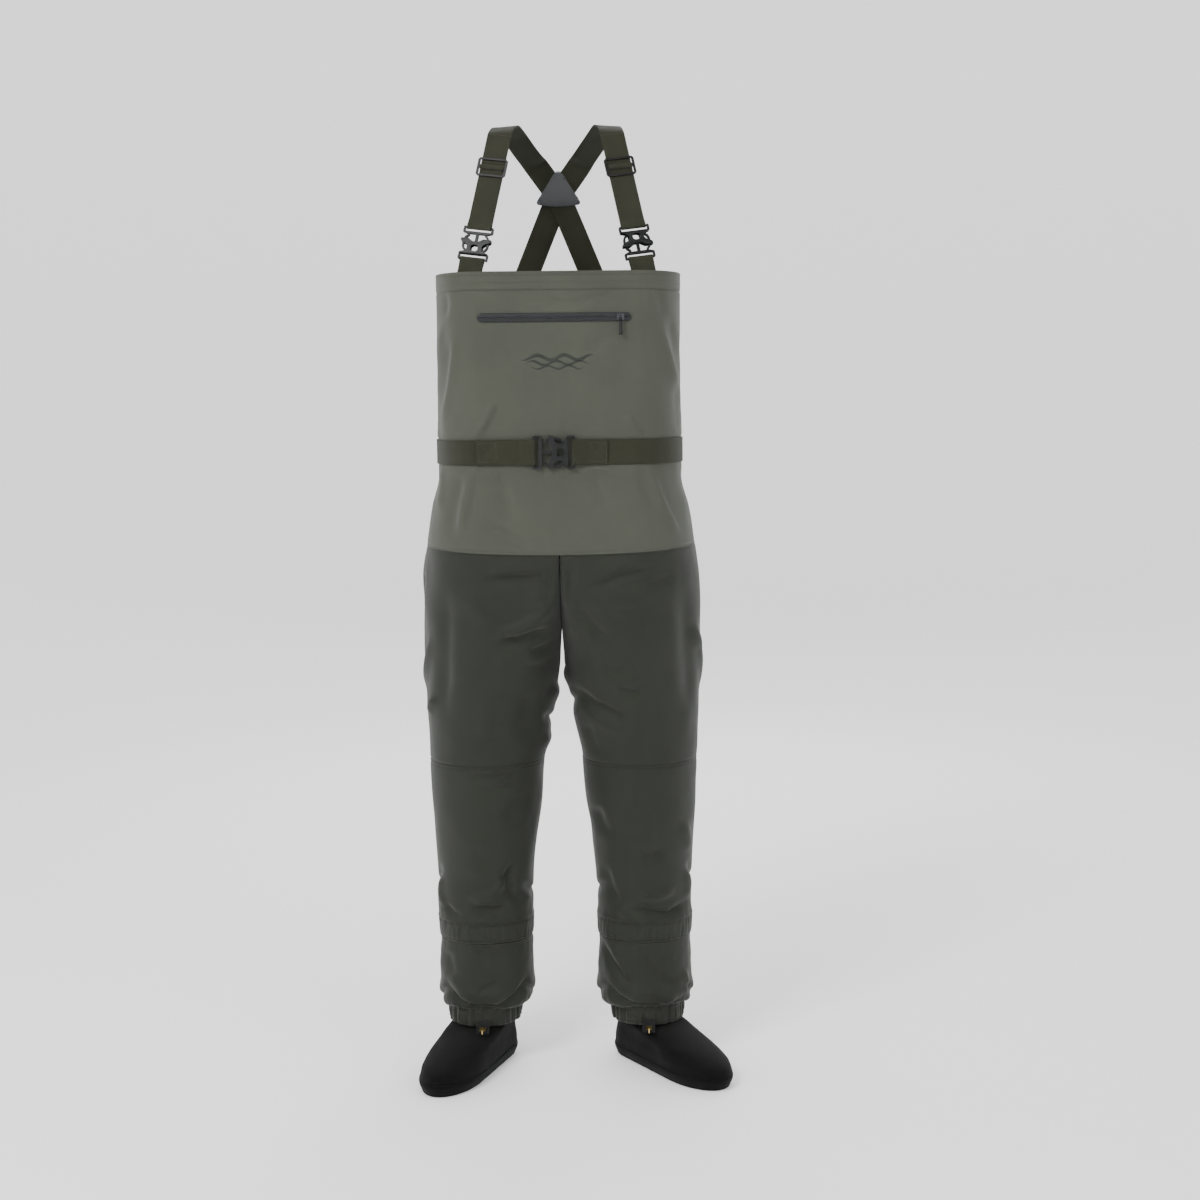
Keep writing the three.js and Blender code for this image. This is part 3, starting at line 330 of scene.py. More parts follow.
BIB = cloth_material("bib_cloth", srgb(62, 64, 56), 0.66)
LEG_CLOTH = cloth_material("leg_cloth", srgb(32, 34, 28), 0.66)
WEB = webbing_material("olive_webbing", srgb(40, 41, 31))
DARK_WEB = webbing_material("black_webbing", srgb(20, 20, 20))
SOCK = neoprene_material("knit_neoprene", srgb(5, 5, 5), (0.9, 1.3))
SOLE = neoprene_material("ribbed_sole", srgb(4, 4, 4), (2.4, 2.4))
PLASTIC = moulded_material("black_acetal", srgb(11, 12, 13), 0.46)
GLOSS = moulded_material("yoke_plastic", srgb(24, 27, 32), 0.24, grain=0.08, coat=0.6)
COATED = moulded_material("zip_tape", srgb(24, 25, 28), 0.46, grain=0.4)
GRIP = moulded_material("puller_rubber", srgb(16, 17, 17), 0.55, grain=0.5)
STEEL = moulded_material("dark_steel", srgb(74, 76, 80), 0.32, metallic=1.0)
BRASS = moulded_material("brass_wire", srgb(186, 163, 106), 0.30, metallic=1.0)
PRINT = moulded_material("chest_print", srgb(34, 37, 32), 0.55, grain=0.3)
THREAD = webbing_material("sewing_thread", srgb(58, 61, 53))


# ---- Mesh helpers ------------------------------------------------------------------------

def finish_mesh(obj, body, replaces=()):
    for polygon in obj.data.polygons:
        polygon.use_smooth = True
    if replaces:
        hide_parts(*replaces)
    if body:
        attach(obj, body)
    return obj


def make_object(name, points, faces, material, uv=None, seam=None):
    """A mesh object from millimetre points. uv is per corner; the darkening mark, for seams and for
    painted shade, is per point.
    """
    data = bpy.data.meshes.new(name)
    data.from_pydata([tuple(p) for p in place(points)], [], [tuple(f) for f in faces])
    data.update()
    if uv is not None:
        layer = data.uv_layers.new(name="cloth")
        layer.data.foreach_set("uv", np.asarray(uv, np.float32).ravel())
    mark = data.attributes.new("seam", "FLOAT", "POINT")
    values = np.zeros(len(points), np.float32) if seam is None else np.asarray(seam, np.float32)
    mark.data.foreach_set("value", values.ravel())
    data.materials.append(material)
    obj = bpy.data.objects.new(name, data)
    bpy.context.scene.collection.objects.link(obj)
    return obj


def grid_object(name, grid, material, closed=True, seam=None, thick=1.2):
    """A sheet through a grid of points, rows by columns, thickened inwards."""
    rows, cols = grid.shape[:2]
    wrap = cols if closed else cols - 1
    step_u = np.linalg.norm(np.roll(grid, -1, axis=1) - grid, axis=2).mean(axis=0)
    u = np.concatenate([[0], np.cumsum(step_u)])
    step_v = np.linalg.norm(np.diff(grid, axis=0), axis=2).mean(axis=1)
    v = np.concatenate([[0], np.cumsum(step_v)])
    faces, uv = [], []
    for r in range(rows - 1):
        for k in range(wrap):
            n = (k + 1) % cols
            faces.append((r * cols + k, r * cols + n, (r + 1) * cols + n, (r + 1) * cols + k))
            uv += [(u[k], v[r]), (u[k + 1], v[r]), (u[k + 1], v[r + 1]), (u[k], v[r + 1])]
    obj = make_object(name, grid.reshape(-1, 3), faces, material, uv,
                      None if seam is None else seam.reshape(-1))
    wall = obj.modifiers.new("wall", "SOLIDIFY")
    wall.thickness, wall.offset, wall.use_even_offset = thick * MM, -1, False
    return obj


def normals_of(grid, closed=True):
    """Outward normals of a grid whose rows run upwards and columns run anticlockwise."""
    if closed:
        around = np.roll(grid, -1, axis=1) - np.roll(grid, 1, axis=1)
    else:
        around = np.gradient(grid, axis=1)
    normal = np.cross(around, np.gradient(grid, axis=0))
    return normal / np.maximum(np.linalg.norm(normal, axis=2, keepdims=True), 1e-9)


def ticks(low, high, step, fine=(), near=(0.0, 1.1, 2.4, 4.0)):
    """Evenly spaced values with extra ones close to each seam."""
    values = list(np.linspace(low, high, max(2, round((high - low) / step) + 1)))
    for at in fine:
        values = [v for v in values if abs(v - at) > near[-1] + 0.6 or v in (low, high)]
        values += [at + side * gap for gap in near for side in (-1, 1)]
    inside = sorted({round(v, 4) for v in values if low <= v <= high})
    return np.array(inside)


# ---- Tube sections -----------------------------------------------------------------------

def monotone(xs, ys, x):
    """Smooth interpolation that doesn't overshoot. xs rises; ys may have several columns."""
    h, d = np.diff(xs)[:, None], np.diff(ys, axis=0) / np.diff(xs)[:, None]
    slope = np.zeros_like(ys)
    same = d[1:] * d[:-1] > 0
    weight = (h[1:] + h[:-1]) / (h[1:] / np.where(same, d[:-1], 1) * 1.0
                                 + h[:-1] / np.where(same, d[1:], 1))
    slope[1:-1] = np.where(same, weight, 0)
    slope[0], slope[-1] = d[0], d[-1]
    i = int(np.clip(np.searchsorted(xs, x) - 1, 0, len(xs) - 2))
    t, w = (x - xs[i]) / h[i, 0], h[i, 0]
    return ((2 * t**3 - 3 * t**2 + 1) * ys[i] + (t**3 - 2 * t**2 + t) * w * slope[i]
            + (-2 * t**3 + 3 * t**2) * ys[i + 1] + (t**3 - t**2) * w * slope[i + 1])


def outline(x0, x1, y0, y1, ix, iy, ox, oy):
    """A box outline with an elliptical arc at each corner, from its front middle."""
    limit_x, limit_y = 0.49 * (x1 - x0), 0.49 * (y1 - y0)
    ix, iy, ox, oy = min(ix, limit_x), min(iy, limit_y), min(ox, limit_x), min(oy, limit_y)
    points = [((x0 + x1) / 2, y0)]
    for cx, cy, rx, ry, start in ((x1 - ox, y0 + oy, ox, oy, -90), (x1 - ox, y1 - oy, ox, oy, 0),
                                  (x0 + ix, y1 - iy, ix, iy, 90), (x0 + ix, y0 + iy, ix, iy, 180)):
        for k in range(25):
            t = math.radians(start + 90 * k / 24)
            points.append((cx + rx * math.cos(t), cy + ry * math.sin(t)))
    points.append(points[0])
    return np.array(points)


def sample(loop, shares):
    """Points of a closed loop at shares 0..1 of its length."""
    along = run_along(loop)
    along /= along[-1]
    return np.stack([np.interp(shares, along, loop[:, k]) for k in (0, 1)], axis=1)


def tube(table, heights, shares, grow=0.0):
    """A grid through the sections of a table of [z, x0, x1, y0, y1, ix, iy, ox, oy]."""
    zs, values = table[:, 0], table[:, 1:]
    out = np.zeros((len(heights), len(shares), 3))
    for r, z in enumerate(heights):
        x0, x1, y0, y1, *radii = monotone(zs, values, z)
        loop = outline(x0 - grow, x1 + grow, y0 - grow, y1 + grow, *[v + grow for v in radii])
        out[r, :, :2] = sample(loop, shares)
        out[r, :, 2] = z
    return out


# ---- Folds -------------------------------------------------------------------------------

FACING = {"front": (0, -1), "back": (0, 1), "left": (1, 0), "right": (-1, 0)}


def fold_height(a, z, line, height, width, sharp):
    """One crease along a line of (a, z) points. sharp narrows the side on the line's left."""
    best = np.full(a.shape, 1e9)
    signed, share = np.zeros(a.shape), np.zeros(a.shape)
    line = np.array(line, float)
    lengths = np.linalg.norm(np.diff(line, axis=0), axis=1)
    total, done = lengths.sum(), 0.0
    for p, q, length in zip(line[:-1], line[1:], lengths):
        d = (q - p) / length
        t = np.clip(((a - p[0]) * d[0] + (z - p[1]) * d[1]) / length, 0, 1)
        da, dz = a - p[0] - t * length * d[0], z - p[1] - t * length * d[1]
        far = np.hypot(da, dz)
        nearer = far < best
        best = np.where(nearer, far, best)
        signed = np.where(nearer, d[0] * dz - d[1] * da, signed)
        share = np.where(nearer, (done + t * length) / total, share)
        done += length
    reach = np.where(signed > 0, width * sharp, width)
    ends = smooth(share / 0.3) * smooth((1 - share) / 0.3)
    return height * ends * np.exp(-(best / reach) ** 2)


def folded(grid, normal, folds):
    """The total height of the folds that face each point."""
    total = np.zeros(grid.shape[:2])
    for side, creases in folds.items():
        fx, fy = FACING[side]
        facing = smooth((normal[..., 0] * fx + normal[..., 1] * fy) / 0.5)
        a = grid[..., 0] if side in ("front", "back") else grid[..., 1]
        for line, height, width, sharp in creases:
            total += facing * fold_height(a, grid[..., 2], line, height, width, sharp)
    return total


def line_mark(value, at, half=0.9):
    """1 on a line and 0 away from it."""
    return np.exp(-((value - at) / half) ** 2)


# ---- The garment: bib and legs -----------------------------------------------------------

HEM_Z, HIP_Z, KNEE_Z = 1253.0, 836.0, 492.0
BAND_TOP_Z, BAND_BOTTOM_Z, CUFF_TOP_Z, CUFF_BOTTOM_Z = 239.0, 205.0, 96.0, 68.0
BELT_Z, BELT_HALF = 982.0, 19.0
ZIP_X, ZIP_Z = -4.0, 1184.0     # middle of the chest zip
SEAM_DIP = 9.0                 # the hip seam hangs lower at the front and back middle


def body_row(z, a, b, rx):
    return [z, -a, a, -b, b, rx, b, rx, b]


BODY = np.array([body_row(836, 211, 138, 96), body_row(898, 201, 128, 84),
                 body_row(945, 190, 120, 72), body_row(1253, 190, 120, 72)], float)
LEG = np.array([                # the leg on +X: z, x0, x1, y0, y1, inner arcs, outer arcs
    [96, 73, 190, -54, 63, 58, 57, 58, 57],
    [110, 56, 201, -66, 79, 71, 71, 71, 71],
    [128, 52, 203, -69, 83, 74, 74, 74, 74],
    [205, 54, 201, -64, 81, 73, 72, 73, 72],
    [261, 52, 204, -68, 85, 75, 76, 75, 76],
    [350, 46, 206, -76, 93, 80, 84, 80, 84],
    [416, 37, 210, -84, 99, 86, 90, 86, 90],
    [492, 30, 213, -91, 108, 90, 98, 90, 98],
    [571, 14, 216, -100, 119, 100, 108, 100, 108],
    [650, 3.5, 218, -117, 131, 96, 112, 108, 123],
    [722, 0.4, 219, -131, 141, 48, 72, 107, 134],
    [780, 0.4, 218, -138, 143, 14, 18, 104, 138],
    [836, 0.4, 211, -138, 138, 2, 2, 96, 138]], float)

BIB_FOLDS = {                   # facing: crease line, height, width, sharpness
    "front": [
        ([(-175, 1187), (-182, 1145), (-187, 1056)], 3.0, 9, 0.6),
        ([(-145, 1195), (-156, 1127), (-168, 1063), (-180, 1004)], 4.2, 15, 0.45),
        ([(-160, 1165), (-170, 1090), (-182, 1030)], -3.0, 8, 0.8),
        ([(-92, 1062), (-111, 1024), (-130, 1000)], 4.0, 9, 0.4),
        ([(-138, 1042), (-152, 1020), (-164, 1001)], -2.6, 12, 1.0),
        ([(155, 1178), (163, 1140), (176, 1100), (190, 1066)], 4.6, 10, 0.45),
        ([(170, 1190), (178, 1150), (186, 1112)], -3.0, 8, 0.8),
        ([(184, 1090), (187, 1046), (188, 1003)], -3.0, 8, 1.0),
        ([(104, 1040), (118, 1014), (134, 999)], 3.4, 8, 0.4),
        ([(-57, 1230), (-17, 1209), (20, 1203), (70, 1215), (104, 1232)], -2.6, 9, 0.5),
        ([(0, 1196), (36, 1199), (74, 1212)], 2.2, 8, 0.8),
        ([(-33, 1243), (-14, 1222), (4, 1200)], -1.8, 9, 0.6),
        ([(-110, 1168), (-77, 1124), (-44, 1086)], 1.8, 13, 0.6),
        ([(70, 1164), (60, 1140), (46, 1116)], -1.8, 11, 0.8),
        ([(153, 1232), (158, 1206), (162, 1184)], -2.4, 7, 0.7),
        ([(-172, 1228), (-168, 1206), (-172, 1184)], -2.2, 7, 0.7),
        ([(-128, 964), (-139, 916), (-152, 852)], 4.6, 13, 0.4),
        ([(-143, 960), (-158, 905), (-166, 850)], -3.4, 11, 1.0),
        ([(-182, 962), (-181, 930), (-186, 890)], 3.2, 8, 0.7),
        ([(-92, 960), (-82, 922), (-64, 884)], -3.4, 15, 0.6),
        ([(-118, 884), (-78, 864), (-38, 838)], -3.4, 11, 0.5),
        ([(-60, 900), (-30, 880), (0, 868)], 1.6, 16, 0.7),
        ([(136, 964), (150, 922), (166, 886), (186, 850)], 4.4, 9, 0.45),
        ([(120, 962), (132, 930), (148, 892)], -2.8, 11, 1.0),
        ([(184, 962), (196, 920), (207, 872)], 3.0, 8, 0.8),
        ([(50, 960), (62, 930), (78, 896)], -1.7, 13, 0.8),
    ],
    "back": [
        ([(-120, 1236), (-136, 1150), (-150, 1040)], 3.4, 14, 0.5),
        ([(128, 1230), (140, 1150), (158, 1050)], 3.4, 13, 0.5),
        ([(-40, 1180), (0, 1162), (50, 1186)], -2.2, 13, 0.6),
        ([(-80, 1058), (-100, 1026), (-124, 1001)], 3.0, 9, 0.45),
        ([(78, 1064), (96, 1030), (118, 1001)], 3.0, 9, 0.45),
        ([(-98, 962), (-116, 910), (-128, 850)], 3.8, 12, 0.45),
        ([(104, 962), (122, 906), (138, 852)], 3.8, 12, 0.45),
        ([(-40, 960), (-20, 910), (-6, 860)], -2.4, 15, 0.7),
    ],
    "left": [
        ([(-20, 1180), (0, 1110), (-10, 1030)], -2.6, 13, 0.6),
    ],
    "right": [
        ([(10, 1190), (-14, 1110), (6, 1030)], -2.6, 13, 0.6),
    ],
}


def dip_at(x):
    return SEAM_DIP * (1 - np.clip(np.abs(x) / 211, 0, 1) ** 2)


def bib_grid():
    even = np.arange(230) / 230
    shares = even[(np.abs(even - 0.25) > 0.004) & (np.abs(even - 0.75) > 0.004)]
    close = [at + off for at in (0.25, 0.75) for off in (-0.0028, -0.0012, 0, 0.0012, 0.0028)]
    shares = np.sort(np.concatenate([shares, close]))
    heights = ticks(HIP_Z + 0.3, HEM_Z, 4.6, (1225.0, 1247.0, 838.5))
    grid = tube(BODY, heights, shares)
    normal = normals_of(grid)
    x, z = grid[..., 0], grid[..., 2]
    height = 1.4 * folded(grid, normal, BIB_FOLDS)
    soft = wobble(grid, 62, 3.1) * 1.5 + wobble(grid * [1, 1, 0.5], 24, 9.7) * 0.45
    # Fullness above and below the belt, and none under it.
    ripple = wobble(grid * [1, 1, 0.12], 20, 5.0)
    for at, sign in ((BELT_Z + BELT_HALF, 1), (BELT_Z - BELT_HALF, -1)):
        away = (z - at) * sign
        soft += np.where(away > 0, 1, 0) * (1.6 + 2.4 * ripple) * np.exp(-away / 20) * smooth(away / 6)
    under = smooth((np.abs(z - BELT_Z) - BELT_HALF + 3) / 8)
    # The zip, the hem and the hip seam hold the cloth flat.
    zip_x = smooth((np.abs(x - ZIP_X) - 112) / 10)
    zip_z = smooth((np.abs(z - ZIP_Z) - 7) / 12)
    front = smooth(-normal[..., 1] / 0.4)
    flat_zip = 1 - front * (1 - np.maximum(zip_x, zip_z))
    hem = 0.35 + 0.65 * smooth((HEM_Z - z) / 30)
    hip = 0.25 + 0.75 * smooth((z - HIP_Z) / 24)
    total = (height + soft) * under * flat_zip * hem * hip
    total = np.clip(total, -7.5, 6.5)
    total -= 1.1 * line_mark(z, 1225, 1.3) + 0.8 * line_mark(z, 838.5, 1.5)
    grid = grid + normal * total[..., None]
    grid[..., 2] -= dip_at(x) * smooth((965 - z) / 128)
    seam = np.maximum(line_mark(z, 1225), 0.5 * line_mark(z, 1247))
    sides = np.minimum(np.abs(shares - 0.25), np.abs(shares - 0.75)) * 1000
    seam = np.maximum(seam, 0.8 * line_mark(sides, 0, 0.9)[None, :])
    return grid, seam


def bib_pieces():
    """Front and back panels, cut along the side seams from one tube."""
    grid, seam = bib_grid()
    cols = grid.shape[1]
    left, right = int(np.argmax(grid[-1, :, 0])), int(np.argmin(grid[-1, :, 0]))
    order_front = list(range(right, cols)) + list(range(0, left + 1))
    order_back = list(range(left, right + 1))
    for name, order in (("bib_front_cloth", order_front), ("bib_back_cloth", order_back)):
        obj = grid_object(name, grid[:, order], BIB, closed=False, seam=seam[:, order], thick=1.4)
        finish_mesh(obj, "waders", [name.replace("_cloth", "")])


UPPER_FOLDS = {
    "right": {
        "front": [
            ([(-118, 797), (-66, 802), (-14, 803)], -4.6, 8, 0.6),
            ([(-110, 812), (-60, 816), (-20, 815)], 2.0, 10, 1.0),
            ([(-104, 693), (-59, 700), (-6, 714)], -6.5, 11, 0.45),
            ([(-100, 702), (-50, 726), (-8, 752)], 4.6, 11, 0.6),
            ([(-50, 674), (-28, 682), (-4, 694)], -4.0, 9, 0.5),
            ([(-60, 664), (-30, 666), (-8, 676)], 3.0, 9, 0.8),
            ([(-14, 826), (-12, 790), (-16, 760)], -4.0, 8, 0.7),
            ([(-30, 800), (-34, 770), (-30, 745)], 2.2, 10, 0.9),
            ([(-182, 800), (-176, 730), (-180, 650), (-186, 560)], -3.4, 15, 0.7),
            ([(-120, 620), (-108, 580), (-118, 530)], 2.4, 22, 0.8),
            ([(-60, 620), (-52, 570), (-58, 520)], -3.0, 16, 0.8),
            ([(-196, 602), (-206, 586), (-212, 566)], 3.6, 7, 0.6),
            ([(-150, 780), (-120, 745), (-96, 722)], 1.8, 16, 0.8),
        ],
        "left": [
            ([(-60, 610), (0, 596), (60, 604)], 3.4, 14, 0.6),
            ([(-60, 570), (0, 556), (60, 566)], -4.4, 11, 0.6),
            ([(-50, 530), (0, 520), (60, 528)], 2.6, 12, 0.7),
        ],
        "right": [
            ([(-70, 700), (-20, 640), (30, 600)], 3.2, 12, 0.6),
            ([(-40, 800), (-20, 760), (0, 730)], -2.4, 12, 0.7),
        ],
        "back": [
            ([(-190, 770), (-110, 742), (-20, 752)], -5.0, 12, 0.6),
            ([(-180, 744), (-110, 716), (-20, 726)], 4.0, 12, 0.8),
            ([(-40, 690), (-100, 660), (-170, 650)], -3.6, 12, 0.6),
            ([(-40, 560), (-110, 548), (-190, 566)], -4.0, 10, 0.6),
            ([(-50, 536), (-110, 524), (-180, 540)], 3.4, 10, 0.8),
        ],
    },
    "left": {
        "front": [
            ([(44, 782), (88, 800), (150, 812)], -4.2, 9, 0.6),
            ([(70, 812), (104, 820), (150, 826)], 1.8, 8, 1.0),
            ([(120, 780), (148, 786), (176, 793)], -3.0, 7, 0.6),
            ([(54, 762), (90, 757), (124, 758)], 1.8, 9, 0.8),
            ([(16, 770), (44, 724), (80, 686)], -5.2, 14, 0.6),
            ([(40, 776), (70, 738), (104, 704)], 3.4, 14, 0.9),
            ([(10, 616), (50, 590), (104, 570)], -5.2, 14, 0.5),
            ([(24, 592), (64, 564), (112, 546)], 3.2, 12, 0.8),
            ([(72, 652), (96, 648), (120, 650)], -2.6, 9, 0.6),
            ([(84, 622), (104, 614), (126, 613)], -3.0, 8, 0.6),
            ([(78, 632), (104, 627), (130, 628)], 2.2, 8, 0.8),
            ([(14, 826), (16, 790), (12, 756)], -4.0, 8, 0.7),
            ([(34, 560), (46, 530), (52, 505)], -2.6, 14, 0.8),
            ([(190, 790), (194, 720), (198, 640), (196, 560)], -3.0, 14, 0.7),
            ([(204, 710), (210, 690), (216, 666)], 3.0, 7, 0.6),
        ],
        "right": [
            ([(-60, 640), (0, 622), (60, 634)], 3.2, 13, 0.6),
            ([(-60, 596), (0, 584), (60, 592)], -3.6, 12, 0.6),
        ],
        "left": [
            ([(-60, 720), (-10, 650), (30, 590)], 3.2, 12, 0.6),
        ],
        "back": [
            ([(190, 774), (110, 746), (20, 756)], -5.0, 12, 0.6),
            ([(180, 748), (110, 720), (20, 730)], 4.0, 12, 0.8),
            ([(40, 694), (100, 668), (176, 662)], -3.6, 12, 0.6),
            ([(40, 556), (110, 544), (190, 560)], -4.0, 10, 0.6),
            ([(50, 532), (110, 520), (180, 534)], 3.4, 10, 0.8),
        ],
    },
}
LOWER_FOLDS = {
    "right": {
        "front": [
            ([(-131, 474), (-100, 471), (-70, 473)], 3.4, 4.5, 0.5),
            ([(-150, 482), (-100, 479), (-66, 481)], -3.0, 4.5, 0.8),
            ([(-92, 396), (-76, 424), (-64, 452)], -3.4, 16, 0.7),
            ([(-130, 400), (-136, 350), (-140, 300)], 3.0, 24, 0.8),
            ([(-72, 344), (-89, 312), (-80, 288), (-54, 260)], -6.0, 9, 0.45),
            ([(-84, 300), (-70, 276), (-50, 262)], 3.2, 7, 0.7),
            ([(-158, 277), (-118, 288), (-86, 316)], 4.4, 9, 0.5),
            ([(-150, 266), (-114, 262), (-84, 266)], -5.4, 8, 0.6),
            ([(-192, 266), (-178, 252), (-160, 247)], -3.4, 6, 0.7),
            ([(-142, 249), (-118, 255), (-98, 249)], -2.6, 4.5, 0.7),
            ([(-196, 310), (-200, 282), (-190, 256)], 2.8, 8, 0.6),
        ],
        "back": [
            ([(-60, 330), (-120, 300), (-180, 286)], -4.6, 10, 0.5),
            ([(-60, 300), (-120, 270), (-180, 262)], 3.6, 9, 0.8),
            ([(-170, 330), (-130, 280), (-90, 256)], -3.4, 9, 0.6),
            ([(-60, 470), (-120, 462), (-180, 474)], -4.4, 9, 0.6),
            ([(-60, 446), (-120, 436), (-180, 448)], 3.4, 10, 0.8),
        ],
        "left": [
            ([(-50, 300), (0, 276), (50, 292)], -3.4, 9, 0.6),
        ],
        "right": [
            ([(-40, 330), (10, 290), (50, 270)], -3.2, 10, 0.6),
        ],
    },
    "left": {
        "front": [
            ([(48, 424), (58, 398), (70, 374)], -3.4, 14, 0.7),
            ([(120, 430), (132, 390), (130, 350)], 2.8, 24, 0.8),
            ([(120, 348), (138, 345), (156, 352)], -3.0, 9, 0.7),
            ([(110, 284), (140, 281), (178, 290)], 4.2, 9, 0.5),
            ([(100, 266), (140, 254), (165, 250), (200, 266)], -5.0, 8, 0.5),
            ([(84, 262), (96, 250), (110, 246)], 2.2, 6, 0.8),
            ([(62, 330), (74, 290), (90, 258)], -3.0, 11, 0.6),
            ([(196, 320), (200, 290), (196, 262)], 3.2, 8, 0.6),
            ([(188, 400), (196, 370), (200, 340)], 2.8, 10, 0.6),
        ],
        "back": [
            ([(60, 336), (120, 304), (180, 292)], -4.6, 10, 0.5),
            ([(60, 306), (120, 276), (180, 266)], 3.6, 9, 0.8),
            ([(170, 334), (130, 286), (90, 258)], -3.4, 9, 0.6),
            ([(60, 472), (120, 464), (180, 476)], -4.4, 9, 0.6),
            ([(60, 448), (120, 438), (180, 450)], 3.4, 10, 0.8),
        ],
        "left": [
            ([(-40, 330), (10, 296), (50, 274)], -3.4, 10, 0.6),
        ],
        "right": [
            ([(-50, 300), (0, 280), (50, 296)], -3.2, 10, 0.6),
        ],
    },
}


def turn_to(side, grid):
    """A +X grid as it is, or mirrored to -X with its columns still anticlockwise."""
    if side == "left":
        return grid
    flipped = grid * [-1, 1, 1]
    return np.concatenate([flipped[:, :1], flipped[:, :0:-1]], axis=1)


def leg_cloth(side, part, grid, **look):
    """The cloth of one part of a leg, standing for the CAD node of that name."""
    obj = grid_object(f"{side}_{part}_cloth", grid, LEG_CLOTH, **look)
    finish_mesh(obj, "waders", [f"{side}_{part}"])


def upper_leg(side):
    shares = np.arange(150) / 150
    heights = ticks(KNEE_Z + 0.2, HIP_Z, 4.8, (833.5, 494.5))
    grid = turn_to(side, tube(LEG, heights, shares))
    normal = normals_of(grid)
    x, z = grid[..., 0], grid[..., 2]
    height = 1.6 * folded(grid, normal, UPPER_FOLDS[side])
    seed = 2.0 if side == "left" else 14.0
    soft = wobble(grid, 70, seed) * 2.4 + wobble(grid * [1, 1, 0.6], 30, seed + 5) * 0.9
    # Above the crotch the inner faces meet at the body's middle and stay there.
    inner = smooth((np.abs(normal[..., 0]) - 0.5) / 0.4) * (np.abs(x) < 40)
    meeting = inner * smooth((z - 636) / 30)
    ends = (0.25 + 0.75 * smooth((HIP_Z - z) / 22)) * (0.45 + 0.55 * smooth((z - KNEE_Z) / 18))
    total = np.clip((height + soft) * ends * (1 - meeting), -11, 8.5)
    total -= 0.9 * line_mark(z, 833.5, 1.5) + 0.9 * line_mark(z, 494.5, 1.6)
    grid = grid + normal * total[..., None]
    grid[..., 0] = np.where(x > 0, np.maximum(grid[..., 0], 0.3), np.minimum(grid[..., 0], -0.3))
    grid[..., 2] -= dip_at(x) * smooth((z - 690) / 146)
    seam = np.maximum(0.8 * line_mark(z, 494.5), 0.6 * line_mark(z, 833.5))
    leg_cloth(side, "upper_leg", grid, seam=seam, thick=1.4)


def lower_leg(side):
    shares = np.arange(130) / 130
    heights = ticks(BAND_TOP_Z - 1.5, KNEE_Z, 4.4, (489.5,))
    grid = turn_to(side, tube(LEG, heights, shares))
    normal = normals_of(grid)
    z = grid[..., 2]
    height = 1.6 * folded(grid, normal, LOWER_FOLDS[side])
    seed = 21.0 if side == "left" else 33.0
    soft = wobble(grid, 60, seed) * 1.9 + wobble(grid * [1, 1, 0.6], 26, seed + 5) * 0.8
    # Small pleats run up out of the gathered band.
    pleat = wobble(grid * [1, 1, 0.10], 8.5, seed + 2)
    soft += 1.9 * pleat * np.exp(-(z - BAND_TOP_Z) / 15)
    ends = (0.45 + 0.55 * smooth((KNEE_Z - z) / 16)) * (0.35 + 0.65 * smooth((z - BAND_TOP_Z) / 14))
    total = np.clip((height + soft) * ends, -10, 8.5)
    total += 2.2 * np.exp(-(z - BAND_TOP_Z) / 7)
    total -= 0.8 * line_mark(z, 489.5, 1.4)
    grid = grid + normal * total[..., None]
    leg_cloth(side, "lower_leg", grid, seam=0.7 * line_mark(z, 489.5), thick=1.4)


def calf_band(side):
    """The gathered seam band: fine vertical puckers between two rows of stitching."""
    shares = np.arange(300) / 300
    heights = ticks(BAND_BOTTOM_Z + 0.4, BAND_TOP_Z, 2.6, (BAND_BOTTOM_Z + 4, BAND_TOP_Z - 5))
    grid = turn_to(side, tube(LEG, heights, shares, grow=2.4))
    normal = normals_of(grid)
    z = grid[..., 2]
    seed = 41.0 if side == "left" else 52.0
    puckers = wobble(grid * [1, 1, 0.14], 3.6, seed) * 0.95 + wobble(grid * [1, 1, 0.3], 12, seed) * 0.8
    rows = line_mark(z, BAND_BOTTOM_Z + 4, 1.2) + line_mark(z, BAND_TOP_Z - 5, 1.2)
    edge = smooth((z - BAND_BOTTOM_Z) / 3) * smooth((BAND_TOP_Z - z) / 3)
    total = puckers * (1 - 0.5 * np.clip(rows, 0, 1)) - 0.9 * rows - 1.6 * (1 - edge)
    grid = grid + normal * total[..., None]
    grid[..., 2] += wobble(grid * [1, 1, 0], 60, seed) * 1.6 * (1 - smooth((z - 205) / 30))
    leg_cloth(side, "calf_band", grid, seam=0.7 * rows, thick=1.3)


# ---- Gravel guards, cuffs and booties ----------------------------------------------------

